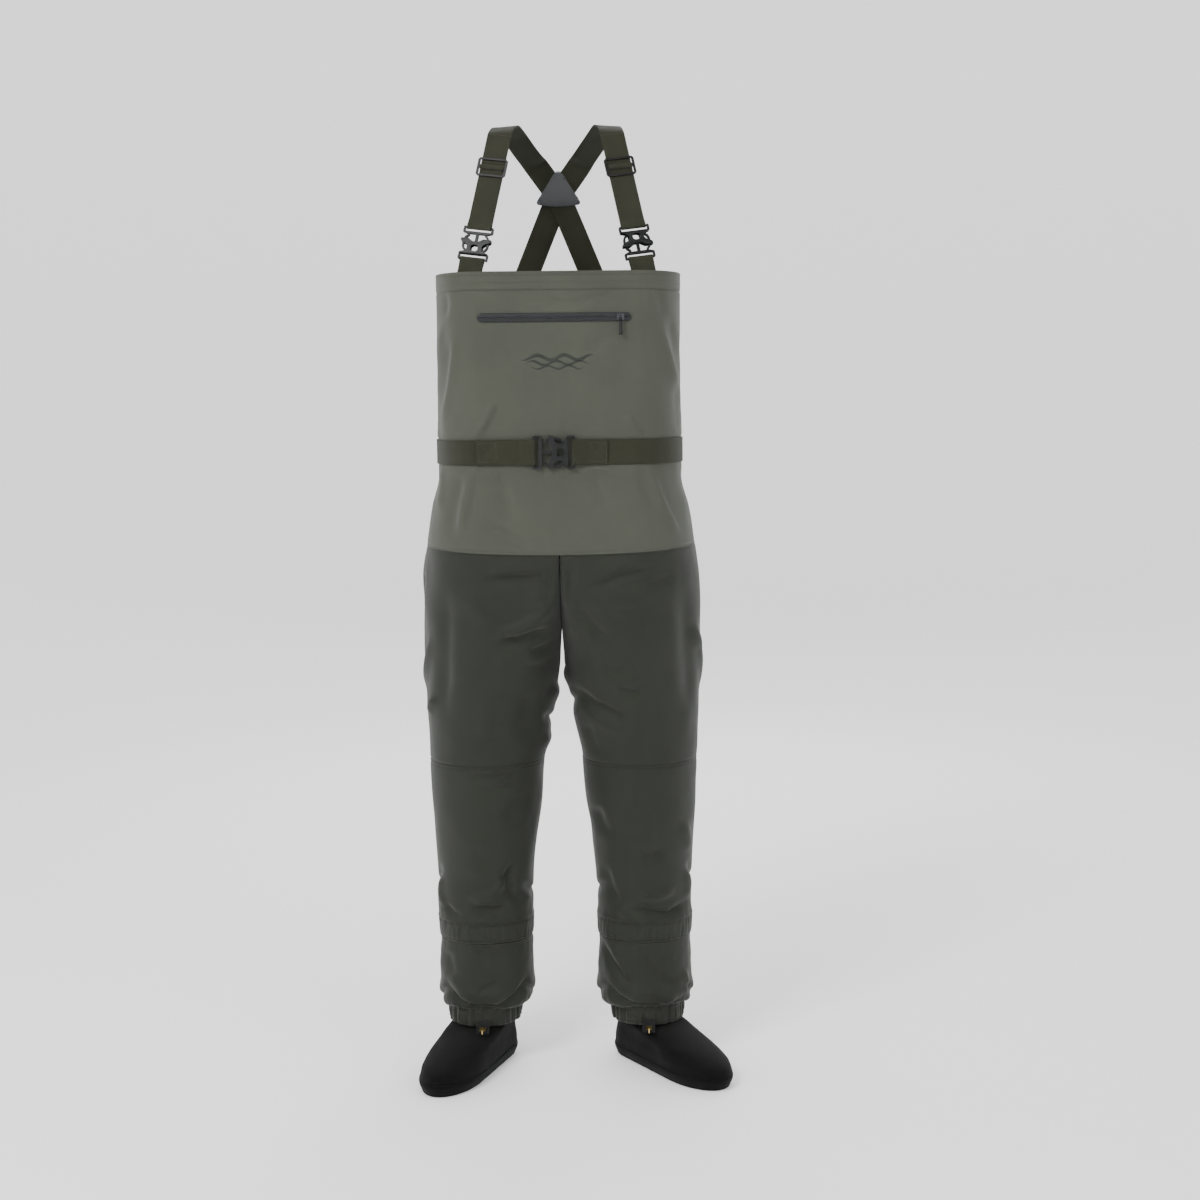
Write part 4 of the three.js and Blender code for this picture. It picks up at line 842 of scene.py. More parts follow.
GUARD_FOLDS = {
    "right": {
        "front": [
            ([(-196, 142), (-168, 114), (-140, 104), (-108, 106), (-80, 120), (-56, 150)], -8.5, 6.5, 0.5),
            ([(-190, 158), (-165, 130), (-138, 119), (-108, 121), (-84, 136)], 4.5, 9, 0.8),
            ([(-178, 108), (-140, 96), (-100, 97), (-66, 112)], 3.5, 7, 0.8),
            ([(-148, 115), (-129, 133), (-104, 142)], -3.4, 6, 0.6),
            ([(-150, 192), (-118, 196), (-92, 202)], -1.8, 5, 0.8),
            ([(-104, 180), (-112, 190), (-96, 200)], -1.8, 5, 0.8),
            ([(-190, 190), (-180, 160), (-184, 140)], -2.6, 10, 0.7),
        ],
        "back": [
            ([(-190, 130), (-150, 108), (-110, 106), (-70, 128)], -7.0, 7, 0.5),
            ([(-180, 150), (-130, 124), (-76, 146)], 4.0, 9, 0.8),
        ],
        "left": [
            ([(-50, 136), (0, 112), (50, 130)], -5.5, 7, 0.5),
        ],
        "right": [
            ([(-50, 132), (0, 108), (50, 128)], -5.5, 7, 0.5),
        ],
    },
    "left": {
        "front": [
            ([(60, 142), (84, 118), (116, 106), (160, 103), (200, 118)], -8.0, 6.5, 0.5),
            ([(66, 162), (92, 134), (124, 120), (164, 117), (196, 134)], 4.2, 9, 0.8),
            ([(56, 202), (72, 176), (92, 148), (112, 128)], -4.4, 8, 0.5),
            ([(68, 204), (86, 178), (108, 150)], 3.2, 8, 0.8),
            ([(110, 190), (134, 162), (160, 140), (188, 132)], -2.6, 9, 0.6),
            ([(130, 112), (160, 100), (196, 104)], -4.0, 5, 0.5),
            ([(188, 158), (194, 132), (190, 110)], 4.0, 7, 0.5),
        ],
        "back": [
            ([(70, 130), (110, 108), (150, 106), (190, 128)], -7.0, 7, 0.5),
            ([(76, 150), (130, 124), (184, 146)], 4.0, 9, 0.8),
        ],
        "left": [
            ([(-50, 136), (0, 110), (50, 130)], -5.5, 7, 0.5),
        ],
        "right": [
            ([(-50, 132), (0, 112), (50, 128)], -5.5, 7, 0.5),
        ],
    },
}
CUFF = np.array([[68, 75, 188, -57, 62, 56, 58, 56, 58], [96, 73, 190, -54, 63, 58, 57, 58, 57]], float)


def ruffles(grid, seed):
    """Uneven gathers round an elastic: the same column pattern at every height."""
    ring = grid * [1, 1, 0]
    return wobble(ring, 6.4, seed) * 1.3 + wobble(ring, 2.8, seed + 3) * 0.3


HOOK_X = 131.5


def gravel_guard(side):
    shares = np.arange(230) / 230
    heights = ticks(CUFF_TOP_Z, BAND_BOTTOM_Z, 2.6)
    grid = turn_to(side, tube(LEG, heights, shares))
    normal = normals_of(grid)
    z = grid[..., 2]
    seed = 61.0 if side == "left" else 75.0
    soft = wobble(grid, 44, seed) * 2.6 + wobble(grid, 18, seed + 4) * 0.8
    soft += 2.4 * wobble(grid * [1, 1, 0.16], 9, seed + 1) * np.exp(-(BAND_BOTTOM_Z - z) / 12)
    gathers = ruffles(grid, 90.0 if side == "left" else 97.0)
    soft += 2.2 * gathers * np.exp(-(z - CUFF_TOP_Z) / 13)
    billow = 4.5 * np.exp(-((z - 112) / 15) ** 2)
    hold = smooth((BAND_BOTTOM_Z - z) / 12) * smooth((z - CUFF_TOP_Z + 5) / 12)
    total = (folded(grid, normal, GUARD_FOLDS[side]) + soft + billow) * hold
    total = np.clip(total, -9.5, 8)
    total = np.where(z < 106, np.maximum(total, -1.0), total)
    # The lace hook swings up in front, so the cloth lies flat there.
    hook = np.exp(-((np.abs(grid[..., 0]) - HOOK_X) / 26) ** 2) * (grid[..., 1] < 0)
    flat = hook * np.exp(-((z - 104) / 24) ** 2)
    total = np.where(total > -0.6, total * (1 - flat) - 0.6 * flat, total)
    grid = grid + normal * total[..., None]
    # The fullness hangs a little over the elastic.
    uneven = 1 + 0.5 * wobble(grid * [1, 1, 0], 30, seed)
    grid[..., 2] -= 5.5 * np.exp(-((z - 106) / 9) ** 2) * uneven * (1 - hook)
    leg_cloth(side, "gravel_guard", grid, thick=1.2)


def ankle_cuff(side):
    shares = np.arange(330) / 330
    heights = ticks(CUFF_BOTTOM_Z, CUFF_TOP_Z + 1.5, 1.6)
    grid = turn_to(side, tube(CUFF, heights, shares))
    normal = normals_of(grid)
    z = grid[..., 2]
    gathers = ruffles(grid, 90.0 if side == "left" else 97.0)
    shape = 1.35 - 0.75 * line_mark(z, 90, 3.0) - 0.35 * line_mark(z, 73, 3.0)
    total = gathers * 1.9 * shape - 1.0 * line_mark(z, 90, 2.2) - 0.7 * line_mark(z, 73, 1.6)
    total = np.clip(total + 1.2, -1.2, 4.2)
    total = np.where(z < CUFF_BOTTOM_Z + 3, total - 0.9 * (CUFF_BOTTOM_Z + 3 - z) / 3, total)
    grid = grid + normal * total[..., None]
    # Painted shade: the cloth colour darkens in the valleys of the gathers, besides the dark stitch line
    # at 73 mm.
    gather_valley_shade = 0.55 * smooth((-gathers - 0.25) / 0.6)
    seam = np.clip(gather_valley_shade + 0.6 * line_mark(z, 73, 0.7), 0, 1)
    leg_cloth(side, "ankle_cuff", grid, seam=seam, thick=1.2)


ANKLE = (134.0, 5.0)
TOE_OUT = {"left": 32.0, "right": 19.0}
FOOT = np.array([              # z, half width, toe, heel
    [4.3, 45, 204, 58], [16, 48, 208, 61], [30, 48, 202, 60], [46, 46, 168, 57],
    [58, 46, 106, 54], [66, 47, 54, 53], [80, 48, 50, 52], [98, 49, 51, 51], [118, 50, 50, 51]], float)


def foot_loop(half, toe, heel, turn):
    arc = min(1.9 * half, 0.45 * (toe + heel))
    back = min(half, 0.49 * (toe + heel))
    rx = 0.98 * half
    points = [(0.0, -toe)]
    for cx, cy, ry, start in ((half - rx, -toe + arc, arc, -90), (half - rx, heel - back, back, 0),
                              (rx - half, heel - back, back, 90), (rx - half, -toe + arc, arc, 180)):
        for k in range(25):
            t = math.radians(start + 90 * k / 24)
            points.append((cx + rx * math.cos(t), cy + ry * math.sin(t)))
    points.append(points[0])
    p = np.array(points)
    c, s = math.cos(turn), math.sin(turn)
    return np.stack([ANKLE[0] + p[:, 0] * c - p[:, 1] * s, ANKLE[1] + p[:, 0] * s + p[:, 1] * c], axis=1)


def foot_grid(side, heights, cols, grow=0.0):
    shares = np.arange(cols) / cols
    grid = np.zeros((len(heights), cols, 3))
    for r, z in enumerate(heights):
        half, toe, heel = monotone(FOOT[:, 0], FOOT[:, 1:], np.clip(z, 4.3, 118))
        loop = foot_loop(half + grow, toe + grow, heel + grow, math.radians(TOE_OUT[side]))
        grid[r, :, :2] = sample(loop, shares)
        grid[r, :, 2] = z
    return turn_to(side, grid)


def bootie(side):
    heights = ticks(5.0, 116, 1.9)
    grid = foot_grid(side, heights, 170)
    normal = normals_of(grid)
    z = grid[..., 2]
    seed = 81.0 if side == "left" else 88.0
    soft = wobble(grid, 40, seed) * 1.1 + wobble(grid, 15, seed + 2) * 0.3
    # Neoprene creases where the instep meets the ankle.
    crease = wobble(grid * [0.35, 0.35, 1], 9, seed + 6) * 1.3 * np.exp(-((z - 60) / 9) ** 2)
    round_sole = -3.0 * (1 - smooth((z - 4) / 9))
    total = np.clip(soft + crease, -2.2, 1.4) * smooth((z - 10) / 12) + round_sole
    total = np.minimum(total, np.where(z > 66, -0.6, 1.4))
    grid = grid + normal * total[..., None] * [1, 1, 0.4]
    seam = 0.8 * line_mark(z, 21, 1.0)
    obj = grid_object(f"{side}_bootie_skin", grid, SOCK, seam=seam, thick=3.2)
    return finish_mesh(obj, "waders", [f"{side}_bootie"])


def bootie_sole(side):
    """A ribbed sole that turns up round the edge of the foot."""
    heights = np.array([0, 0.5, 1.5, 3.2, 5.0, 8.0, 11.0, 14.0, 16.5, 18.2, 19.0, 19.2])
    inset = np.array([3.4, 1.6, 0.5, -0.1, -0.7, -1.1, -1.3, -1.4, -1.4, -1.2, -0.8, 0.6])
    rows = [foot_grid(side, [max(z, 4.3)], 170, grow=-by)[0] for z, by in zip(heights, inset)]
    grid = np.array(rows)
    grid[..., 2] = heights[:, None]
    centre = grid[0].mean(axis=0)
    under = np.array([centre + (grid[0] - centre) * k + [0, 0, 0.02] for k in (0.02, 0.35, 0.7, 0.94)])
    grid = np.concatenate([under, grid])
    obj = grid_object(f"{side}_bootie_sole_rubber", grid, SOLE, thick=1.1)
    return finish_mesh(obj, "waders", [f"{side}_bootie_sole"])


bib_pieces()
for side in ("left", "right"):
    for build in (upper_leg, lower_leg, calf_band, gravel_guard, ankle_cuff, bootie, bootie_sole):
        build(side)


# ---- Webbing: straps, belt, loops and stitches -------------------------------------------

WEB_THICK, WEB_WIDE = 1.6, 38.0
STRAP_FOOT = np.array([131.0, -107.0, 1252.0])       # front strap at the hem
STRAP_HEAD = np.array([85.0, -38.0, 1468.0])         # where it turns over the shoulder
LOW_BAR, HIGH_BAR, ADJUSTER = 21.7, 72.3, 171.0      # distances up the front strap
STRAP_SPLIT = 226.0                                  # where the front run ends
BAR_WRAP = 2.85                                      # middle of the webbing round a bar
YOKE_CENTRE, YOKE_LEAN = np.array([0.0, 106.0, 1396.0]), math.radians(16)
LAYER_STEP, STRAP_BACK_Y = 1.52, 114.68              # strap off the yoke's middle; back run
BELT_LINE_Y, BELT_BUCKLE_Y = -122.0, -125.7          # middle of the belt and of its buckle
FEMALE_BAR_X, MALE_BAR_X = 23.3, -37.3               # the belt buckle's webbing bars


def unit(v):
    return v / np.linalg.norm(v, axis=-1, keepdims=True)


STRAP_ALONG = unit(STRAP_HEAD - STRAP_FOOT)
STRAP_OUT = np.array([math.tan(math.radians(14)), -1.0, 0.0])
STRAP_OUT = unit(STRAP_OUT - STRAP_ALONG * STRAP_OUT.dot(STRAP_ALONG))
STRAP_ACROSS = np.cross(STRAP_ALONG, STRAP_OUT)


def on_strap(t, out=0.0):
    return STRAP_FOOT + STRAP_ALONG * t + STRAP_OUT * out


def trace(stations, step=2.0, soften=4):
    """Points every step millimetres through the stations, with the corners eased."""
    at = np.array([s[0] for s in stations], float)
    hint = unit(np.array([s[1] for s in stations], float))
    run = run_along(at)
    count = max(int(run[-1] / step), 6)
    where = np.linspace(0, run[-1], count + 1)
    path = np.stack([np.interp(where, run, at[:, k]) for k in range(3)], axis=1)
    hints = np.stack([np.interp(where, run, hint[:, k]) for k in range(3)], axis=1)
    for _ in range(soften):
        path[1:-1] = (path[:-2] + 2 * path[1:-1] + path[2:]) / 4
        hints[1:-1] = (hints[:-2] + 2 * hints[1:-1] + hints[2:]) / 4
    return path, hints


def frames_on(path, hints):
    along = unit(np.gradient(path, axis=0))
    across = unit(hints - along * (hints * along).sum(axis=1, keepdims=True))
    return along, across, np.cross(across, along)


def closed_band(name, rings, material, across, along, end_map):
    """A solid through rings of points, capped at both ends, with a texture map in millimetres."""
    rows, cols = rings.shape[:2]
    faces, uv = [], []
    for r in range(rows - 1):
        for k in range(cols):
            n = (k + 1) % cols
            faces.append((r * cols + k, r * cols + n, (r + 1) * cols + n, (r + 1) * cols + k))
            uv += [(across[k], along[r]), (across[k + 1], along[r]),
                   (across[k + 1], along[r + 1]), (across[k], along[r + 1])]
    for r, order in ((0, range(cols - 1, -1, -1)), (rows - 1, range(cols))):
        faces.append(tuple(r * cols + k for k in order))
        uv += [tuple(end_map[k]) for k in order]
    obj = make_object(name, rings.reshape(-1, 3), faces, material, uv)
    if sum(f.center.dot(f.normal) * f.area for f in obj.data.polygons) < 0:
        obj.data.flip_normals()
    return obj


def webbing(name, stations, material, wide=WEB_WIDE, thick=WEB_THICK, step=2.0, soften=4, seed=1.0):
    """A woven band through (point, sideways direction) stations, with rolled selvedges."""
    path, hints = trace(stations, step, soften)
    _, across, out = frames_on(path, hints)
    half, radius = wide / 2, thick / 2
    flat = np.linspace(-1, 1, 15)
    broad = flat * (half - radius)
    swell = 1 + 0.10 * smooth((np.abs(flat) - 0.86) / 0.1)
    turns = np.radians([60, 30, 0, -30, -60])
    u = np.concatenate([broad, half - radius + radius * np.cos(turns), broad[::-1],
                        -(half - radius) - radius * np.cos(turns[::-1])])
    w = np.concatenate([radius * swell, radius * np.sin(turns), -radius * swell,
                        radius * np.sin(turns[::-1])])
    ripple = 0.35 * wobble(path, 26, seed)[:, None] * np.sin(u[None, :] / half * 1.4 + seed)
    grid = path[:, None] + across[:, None] * u[None, :, None] + out[:, None] * (
        w[None, :] + ripple)[..., None]
    length = run_along(path)
    return closed_band(name, grid, material, np.append(u, u[0]), length, np.stack([u, w], axis=1))


def stitches(name, runs, body, pitch=3.6, long=2.7, wide=0.55, lift=0.22):
    """Sewing thread: one low dash per stitch along each (points, outward directions) run."""
    points, faces = [], []
    for line, outward in runs:
        path, hints = trace(list(zip(line, outward)), pitch, 0)
        along, out, side = frames_on(path, hints)
        for p, a, o, s in zip((path[1:] + path[:-1]) / 2, along, out, side):
            base = len(points)
            shoulder, half = a * long * 0.3, s * wide / 2
            points += [p - a * long / 2, p - shoulder + half, p + shoulder + half,
                       p + a * long / 2, p + shoulder - half, p - shoulder - half,
                       p - a * long * 0.25 + o * lift, p + a * long * 0.25 + o * lift]
            for f in ((0, 1, 6), (1, 2, 7, 6), (2, 3, 7), (3, 4, 7), (4, 5, 6, 7), (5, 0, 6),
                      (5, 4, 3, 2, 1, 0)):
                faces.append(tuple(base + k for k in f))
    uv = [(0.3 * k, 0.2 * k) for f in faces for k in range(len(f))]
    obj = make_object(name, points, faces, THREAD, uv)
    return finish_mesh(obj, body)


def round_bar(centre, forward, out):
    """Stations round a bar: from the outward side, past the far side, to the inward side."""
    return [centre + BAR_WRAP * (math.sin(t) * forward + math.cos(t) * out)
            for t in np.radians([0, 30, 60, 90, 120, 150, 180])]


def shoulder_stations(sign):
    up = np.array([0.0, -math.sin(YOKE_LEAN), math.cos(YOKE_LEAN)])
    out = np.array([0.0, up[2], -up[1]])
    back = np.array([0.0, 1.0, 0.0])

    def on_yoke(x, rise):
        return YOKE_CENTRE + up * rise + [x, 0, 0]

    low = on_yoke(-10.3, -35)
    route = [(on_strap(STRAP_SPLIT - 2), STRAP_OUT), (on_strap(STRAP_SPLIT + 4), STRAP_OUT),
             ((83.4, -25, 1473.5), (0.12, -0.5, 0.86)), ((80.5, -8, 1479.5), (0.05, -0.15, 1)),
             ((75, 10, 1480.5), (0.05, 0.25, 0.97)), ((65, 33, 1467), (0.1, 0.55, 0.83)),
             ((52, 58, 1451), (0.05, 0.66, 0.75)), ((41, 78, 1438), (0, 0.76, 0.65)),
             (on_yoke(33.5, 35), out), (on_yoke(30, 30), out), (on_yoke(0, -12), out),
             (on_yoke(-8, -30), out), (on_yoke(-10.3, -35), out)]
    for z in (1330.0, 1290.0, 1216.0):
        route.append(((low[0] - 0.41 * (low[2] - z), STRAP_BACK_Y, z), back))
    at = np.array([np.asarray(p, float) for p, _ in route])
    face = unit(np.array([np.asarray(n, float) for _, n in route]))
    at[6:] += face[6:] * sign * LAYER_STEP
    direction = unit(np.concatenate([at[1:2] - at[:1], at[2:] - at[:-2], at[-1:] - at[-2:-1]]))
    return list(zip(at, unit(np.cross(direction, face))))


def to_side(side, stations):
    flip = np.array([1.0 if side == "left" else -1.0, 1.0, 1.0])
    return [(np.asarray(p) * flip, np.asarray(a) * flip) for p, a in stations]


def shoulder_set(side):
    upper, adjuster = f"{side}_buckle_upper", f"{side}_adjuster"

    def band(name, points, body, replaces, across=STRAP_ACROSS, **settings):
        stations = points if isinstance(points[0], tuple) else [(p, across) for p in points]
        stations = to_side(side, stations)
        obj = webbing(f"{side}_{name}", stations, WEB, **settings)
        return finish_mesh(obj, body, [f"{side}_{n}" for n in replaces]), stations

    # The tab: one band up from the hem, round the buckle's lower bar and down again.
    low = on_strap(LOW_BAR)
    leg_across = np.array([0.955, 0.297, 0.0])
    leg_out = np.array([0.297, -0.955, 0.0])
    foot = [STRAP_FOOT * [1, 1, 0] + [0, 0, z] for z in (1216.0, 1244.0)]
    outer = [(p + leg_out * 0.85, leg_across) for p in foot]
    outer += [(on_strap(t, 0.85), STRAP_ACROSS) for t in (0.0, 9.0)]
    inner = [(on_strap(t, -0.85), STRAP_ACROSS) for t in (9.0, 0.0)]
    inner += [(p - leg_out * 0.85, leg_across) for p in foot[::-1]]
    wrap = [(p, STRAP_ACROSS) for p in round_bar(low, STRAP_ALONG, STRAP_OUT)]
    band("strap_tab_webbing", outer + wrap + inner, "waders", ["strap_tab"], step=1.2, soften=3)

    # The front run, hanging from the adjuster side down to the buckle's upper bar and round it.
    high = on_strap(HIGH_BAR)
    run = [on_strap(t) for t in (STRAP_SPLIT, 180, 120, HIGH_BAR + 14)]
    run += round_bar(high, -STRAP_ALONG, STRAP_OUT) + [on_strap(HIGH_BAR + 14, -2.3)]
    front, _ = band("strap_front_webbing", run, None, ["strap_front"], step=1.5, soften=3)
    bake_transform(front)
    layer = [on_strap(t, -2.25) for t in (HIGH_BAR + 13, 100, 140, ADJUSTER + 5)]
    under, _ = band("strap_under_webbing", layer, None, ["strap_back_layer"])
    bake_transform(under)
    arch = [on_strap(ADJUSTER + a, w) for a, w in
            ((-2.8, 1.2), (-2.8, 3.4), (-2.2, 4.6), (0, 4.95), (2.2, 4.6), (2.8, 3.4), (2.8, 1.2))]
    band("adjuster_loop_webbing", arch, adjuster, ["adjuster_loop"], step=0.6, soften=2)
    band("shoulder_webbing", shoulder_stations(1 if side == "left" else -1), "waders",
         ["shoulder_strap"], step=3.0, soften=5)


def belt_path():
    """The belt's middle line round the waist, from the buckle past the wearer's left side."""
    shares = np.arange(400) / 400
    loop = tube(BODY, np.array([BELT_Z]), shares)[0][:, :2]
    step = np.roll(loop, -1, axis=0) - np.roll(loop, 1, axis=0)
    normal = unit(np.stack([step[:, 1], -step[:, 0]], axis=1))
    centre = loop.mean(axis=0)
    if ((loop - centre) * normal).sum() < 0:
        normal = -normal
    line = loop + normal * 2.0
    angle = np.unwrap(np.arctan2(line[:, 1], line[:, 0]))
    if angle[-1] < angle[0]:
        line = line[::-1]
    angle = np.degrees(np.arctan2(line[:, 1], line[:, 0])) % 360
    turn = (angle + 90) % 360                    # 0 at the front, 90 at the wearer's left
    return line[np.argsort(turn)], np.sort(turn)


def belt():
    line, turn = belt_path()
    tall = np.array([0.0, 0.0, 1.0])

    def flat(points):
        return [(np.array([x, y, BELT_Z]), tall) for x, y in points]

    def loop_round(bar, way, tail):
        """From the body side, round the bar, to the end of the tail folded back outside."""
        centre = np.array([bar, BELT_BUCKLE_Y])
        forward, out = np.array([-way, 0.0]), np.array([0.0, -1.0])
        turned = [centre + BAR_WRAP * (math.sin(t) * forward - math.cos(t) * out)
                  for t in np.radians([0, 30, 60, 90, 120, 150, 180])]
        return ([(bar + way * 24, BELT_LINE_Y), (bar + way * 12, BELT_LINE_Y - 0.3)]
                + [tuple(p) for p in turned]
                + [(bar + way * 12, BELT_LINE_Y - 3.4), (bar + way * 22, BELT_LINE_Y - 1.75),
                   (bar + way * tail, BELT_LINE_Y - 1.75)])

    rest = [(x, y) for (x, y), a in zip(line, turn) if a < 270 and not (abs(x) < 60 and y < 0)]
    start = loop_round(FEMALE_BAR_X, 1, 52)[::-1]
    long = flat(start + [p for p in rest if p[0] > -300])
    obj = webbing("belt_long_webbing", long, WEB, step=2.5, soften=2, seed=5.0)
    finish_mesh(obj, "waders", ["belt_webbing"])
    short = [(x, y) for (x, y), a in zip(line, turn) if a >= 268 and x < -66]
    front = flat(short + loop_round(MALE_BAR_X, -1, 88))
    obj = webbing("belt_short_webbing", front, WEB, step=1.6, soften=2, seed=6.0)
    finish_mesh(obj, None, ["belt_front_run"])
    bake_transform(obj)
    keeper = [(-0.8, -27), (-0.8, -23), (3.6, -19.6), (3.6, 19.6), (-0.8, 23), (-0.8, 27)]
    band = [(np.array([0.0, 121.9 + out, BELT_Z + z]), np.array([1.0, 0, 0])) for out, z in keeper]
    obj = webbing("belt_keeper_webbing", band, WEB, wide=16, thick=1.3, step=1.2, soften=2)
    finish_mesh(obj, "waders", ["belt_keeper"])
    runs = []
    for x, width in ((FEMALE_BAR_X + 36, 26), (MALE_BAR_X - 70, 26)):
        y = BELT_LINE_Y - 1.75 - 0.8
        corners = [(x - width / 2, -14), (x + width / 2, -14), (x + width / 2, 14), (x - width / 2, 14)]
        pairs = [(0, 1), (1, 2), (2, 3), (3, 0), (0, 2), (1, 3)]
        for a, b in pairs:
            ends = [np.array([corners[k][0], y, BELT_Z + corners[k][1]]) for k in (a, b)]
            runs.append((ends, [np.array([0, -1.0, 0])] * 2))
    stitches("belt_box_stitches", runs[:6], "waders")
    stitches("belt_tail_stitches", runs[6:], "belt_male")


for side in ("left", "right"):
    shoulder_set(side)
belt()


# ---- Zip, puller, print, hem stitching and small soft trim -------------------------------

def band_of_rings(name, rings, material):
    """A closed band whose texture map is measured on its middle ring."""
    rings = np.asarray(rings, float)
    middle = rings[len(rings) // 2]
    around = np.cumsum(np.linalg.norm(np.roll(middle, -1, axis=0) - middle, axis=1))
    centres = rings.mean(axis=1)
    along = np.cumsum(np.linalg.norm(np.diff(centres, axis=0), axis=1))
    around, along = np.append(0, around), np.append(0, along)
    ends = np.stack([around[:-1], np.zeros(len(middle))], axis=1)
    return closed_band(name, rings, material, around, along, ends)


ZIP_LONG, ZIP_HALF, ZIP_BACK_Y = 231.0, 6.5, -120.4


def zip_chain():
    """Coated tape with rounded ends and a raised, ribbed closure along the middle."""
    rings = []
    first, last = ZIP_X - ZIP_LONG / 2, ZIP_X + ZIP_LONG / 2
    rounding = ZIP_HALF * (1 - np.cos(np.linspace(0.12, math.pi / 2, 12)))
    xs = np.concatenate([first + rounding, np.arange(first + 7, last - 6.6, 0.6),
                         last - rounding[::-1]])
    across = np.array([-1, -0.97, -0.9, -0.6, -0.36, -0.30, -0.22, -0.13, -0.06, 0,
                       0.06, 0.13, 0.22, 0.30, 0.36, 0.6, 0.9, 0.97, 1])
    raised = np.array([0.0, 0.5, 0.8, 0.85, 0.85, 1.1, 1.55, 1.6, 1.2, 0.6,
                       1.2, 1.6, 1.55, 1.1, 0.85, 0.85, 0.8, 0.5, 0.0])
    coil = np.exp(-((np.abs(across) - 0.18) / 0.09) ** 2)
    for x in xs:
        end = min(x - first, last - x)
        half = ZIP_HALF * math.sqrt(max(1 - (1 - min(end / ZIP_HALF, 1)) ** 2, 0.01))
        teeth = 0.16 * np.sin(2 * math.pi * x / 2.3 + (across > 0) * math.pi) * coil
        rise = (raised + teeth) * min(1, end / 2 + 0.3)
        front = np.stack([np.full(19, x), ZIP_BACK_Y - 1.0 - rise, ZIP_Z + across * half], axis=1)
        back = np.stack([np.full(2, x), np.full(2, ZIP_BACK_Y),
                         ZIP_Z + np.array([half, -half])], axis=1)
        rings.append(np.concatenate([front, back]))
    obj = band_of_rings("zip_chain", rings, COATED)
    return finish_mesh(obj, "waders", ["zip_tape"])


def pull_cord():
    """A moulded grip on a short doubled cord."""
    middle = np.array([95.5, -128.4])
    rings = []
    turns = np.radians(np.arange(0, 360, 18))
    levels = np.concatenate([[1156.2, 1156.6, 1157.6, 1159.5], np.arange(1161, 1175.5, 0.7),
                             [1176.6, 1177.4]])
    for z in levels:
        up = (z - 1156.2) / 21.2
        wide = 2.9 * (1 - 0.22 * up) * min(1, 0.45 + (z - 1156.2) / 2.2, 0.5 + (1177.4 - z) / 2)
        groove = 0.22 * math.sin(2 * math.pi * z / 2.1) * (1161 < z < 1174)
        wide, deep = wide + groove, 0.66 * wide + groove
        rings.append([(middle[0] + wide * math.cos(t), middle[1] + deep * math.sin(t), z)
                      for t in turns])
    grip = band_of_rings("zip_pull_grip", rings, GRIP)
    finish_mesh(grip, "zip_puller", ["zip_puller"])
    path = [(middle[0] - 1.15, middle[1], z) for z in np.linspace(1176, 1183.6, 9)]
    path += [(middle[0] - 1.15 * math.cos(t), middle[1] + 0.2, 1183.6 + 1.9 * math.sin(t))
             for t in np.linspace(0.3, math.pi - 0.3, 9)]
    path += [(middle[0] + 1.15, middle[1], z) for z in np.linspace(1183.6, 1176, 9)]
    path = np.array(path)
    _, side, out = frames_on(path, np.tile([0.0, 1.0, 0.0], (len(path), 1)))
    spin = np.radians(np.arange(0, 360, 36))
    rings = [[p + 0.72 * (s * math.cos(t) + o * math.sin(t)) for t in spin]
             for p, s, o in zip(path, side, out)]
    cord = band_of_rings("zip_pull_cord", rings, DARK_WEB)
    finish_mesh(cord, "zip_puller")


def surface_of(*names):
    """A function that finds where a straight line meets the cloth of the named pieces."""
    bpy.context.view_layer.update()
    graph = bpy.context.evaluated_depsgraph_get()
    trees = [BVHTree.FromObject(bpy.data.objects[name], graph) for name in names]

    def hit(point, direction):
        """The first cloth met from a body-frame point, as (point, normal) in millimetres."""
        origin, ray = Vector(place(point)), Vector(direction).normalized()
        found = [tree.ray_cast(origin, ray) for tree in trees]
        found = [f for f in found if f[0] is not None]
        if not found:
            return None
        near = min(found, key=lambda f: f[3])
        normal = near[1] if near[1].dot(ray) < 0 else -near[1]
        return (np.array(near[0]) - AXIS) / MM, np.array(normal)

    return hit


def chest_waves(hit):
    """Three printed wave lines, laid on the cloth below the zip."""
    for k, (z0, rise, wave, thick) in enumerate(((1124, 3.6, 41, 2.6), (1116, 3.2, 36, 2.0),
                                                 (1109.5, 2.6, 31, 1.5))):
        xs = np.arange(-56 + 7 * k, 56.1 - 7 * k, 1.0)
        middle = z0 + rise * np.sin(2 * math.pi * (xs + 11 * k) / wave)
        taper = np.clip(np.minimum(xs - xs[0], xs[-1] - xs) / 16, 0.08, 1)
        grid = []
        for level in np.linspace(-1, 1, 5):
            row = []
            for x, z, t in zip(xs, middle, taper):
                point, normal = hit((x, -190, z + level * thick * t), (0, 1, 0))
                row.append(point + normal * 0.22)
            grid.append(row)
        obj = grid_object(f"chest_print_{k + 1}", np.array(grid), PRINT, closed=False, thick=0.16)
        finish_mesh(obj, "waders")


def hem_stitching(hit):
    shares = np.arange(760) / 760
    for k, z in enumerate((HEM_Z - 17.0, HEM_Z - 3.2)):
        loop = tube(BODY, np.array([z]), shares)[0]
        centre = loop.mean(axis=0)
        line, outward = [], []
        for point in np.concatenate([loop, loop[:1]]):
            away = unit((point - centre) * [1, 1, 0])
            found = hit(point + away * 30, -away)
            if found:
                line.append(found[0] + found[1] * 0.05)
                outward.append(found[1])
        gaps = np.linalg.norm(np.diff(np.array(line), axis=0), axis=1)
        cuts = [0] + [i + 1 for i, gap in enumerate(gaps) if gap > 8] + [len(line)]
        runs = []
        for a, b in zip(cuts, cuts[1:]):
            if b - a > 3:
                runs.append((line[a:b], outward[a:b]))
        stitches(f"hem_stitches_{k + 1}", runs, "waders")


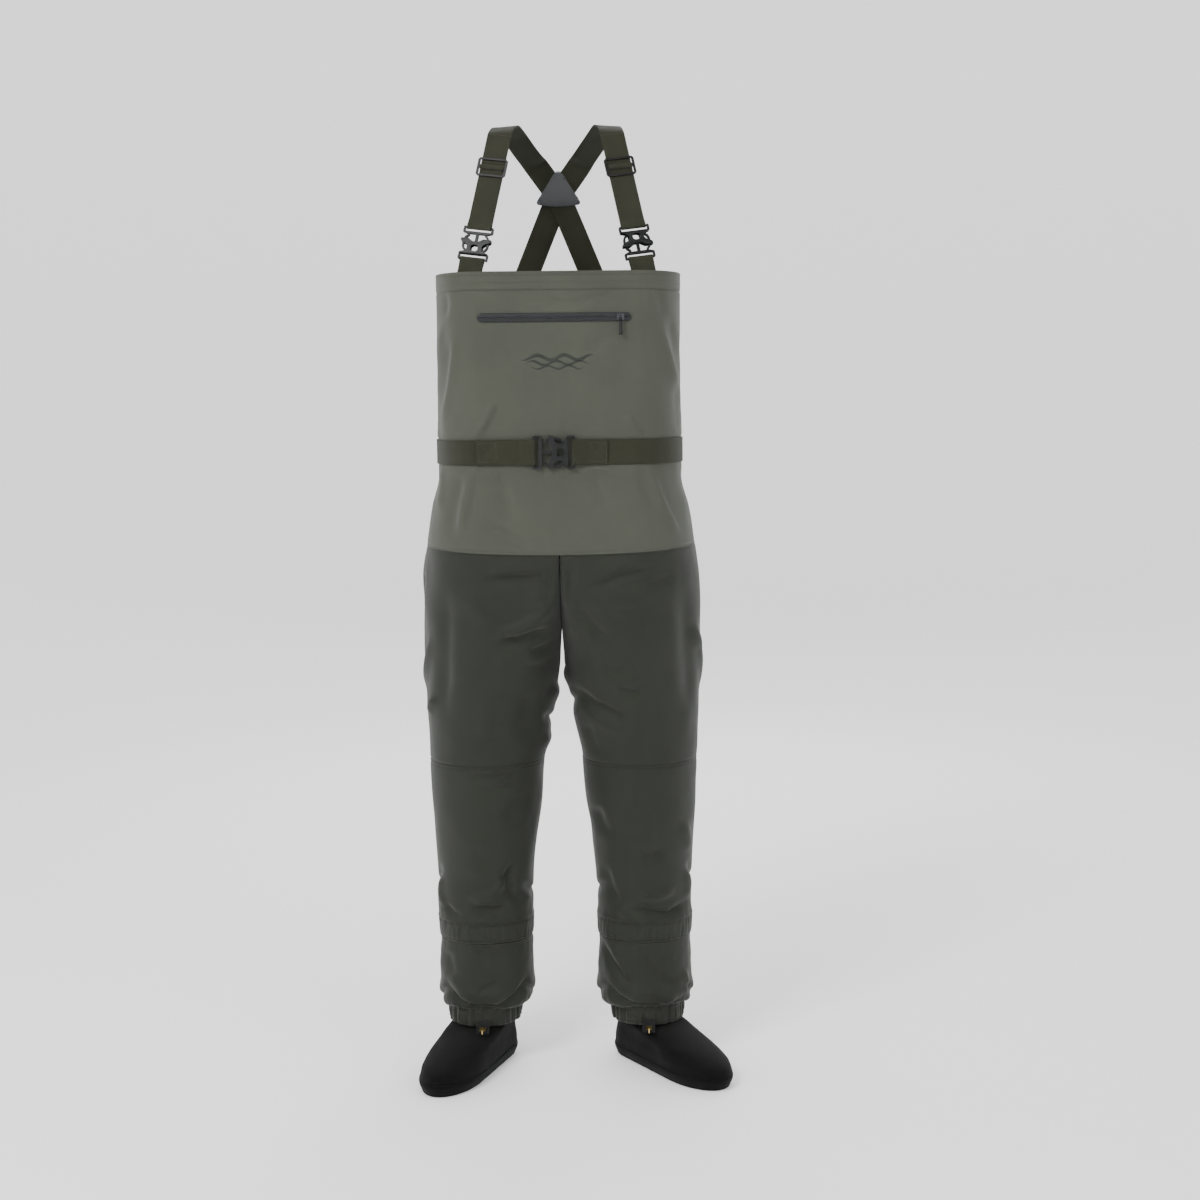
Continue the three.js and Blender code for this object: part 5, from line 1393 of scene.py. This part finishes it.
def softened(node_name, name, material, body, radius):
    """A soft piece from its stand-in's own outline, with rounded edges and its own texture map."""
    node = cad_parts[node_name]
    mesh = bmesh.new()
    mesh.from_mesh(node.data)
    mesh.transform(node.matrix_world)
    bmesh.ops.remove_doubles(mesh, verts=mesh.verts, dist=1e-5)
    bmesh.ops.dissolve_limit(mesh, angle_limit=math.radians(2), verts=mesh.verts, edges=mesh.edges)
    bmesh.ops.bevel(mesh, geom=mesh.edges[:], offset=radius * MM, segments=3, profile=0.5,
                    affect="EDGES", clamp_overlap=True)
    data = bpy.data.meshes.new(name)
    mesh.to_mesh(data)
    mesh.free()
    layer = data.uv_layers.new(name="cloth")
    for polygon in data.polygons:
        drop = max(range(3), key=lambda k: abs(polygon.normal[k]))
        keep = [k for k in range(3) if k != drop]
        for loop in polygon.loop_indices:
            at = data.vertices[data.loops[loop].vertex_index].co
            layer.data[loop].uv = (at[keep[0]] / MM, at[keep[1]] / MM)
        polygon.use_smooth = True
    data.attributes.new("seam", "FLOAT", "POINT")
    data.materials.append(material)
    obj = bpy.data.objects.new(name, data)
    bpy.context.scene.collection.objects.link(obj)
    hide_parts(node_name)
    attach(obj, body)


zip_chain()
pull_cord()
chest = surface_of("bib_front_cloth", "bib_back_cloth")
chest_waves(chest)
hem_stitching(chest)
softened("chest_pocket_bag", "chest_pocket_lining", BIB, "waders", 1.2)
for side in ("left", "right"):
    softened(f"{side}_hook_tab", f"{side}_hook_tab_webbing", DARK_WEB, "waders", 0.5)
for name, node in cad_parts.items():
    if any(word in name for word in ("buckle", "_arm", "adjuster", "yoke", "slider", "lace_hook")):
        if "loop" in name:
            continue
        weld = node.modifiers.new("weld", "WELD")
        weld.merge_threshold = 1e-5
        edge = node.modifiers.new("edge", "BEVEL")
        edge.width, edge.segments, edge.limit_method = 0.35 * MM, 2, "ANGLE"
        edge.angle_limit = math.radians(35)


# ---- Carried-over CAD nodes --------------------------------------------------------------

CARRIED = {
    PLASTIC: ["_buckle_female", "_buckle_male", "_outer_arm", "_inner_arm", "_adjuster",
              "_upper_arm", "_lower_arm"],
    GLOSS: ["_outer_plate", "_inner_plate"],
    STEEL: ["_rivet_top", "_rivet_left", "_rivet_right", "zip_slider"],
    BRASS: ["_lace_hook"],
}
for material, endings in CARRIED.items():
    for name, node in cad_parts.items():
        if any(name.endswith(ending) for ending in endings):
            node.data.materials.clear()
            node.data.materials.append(material)
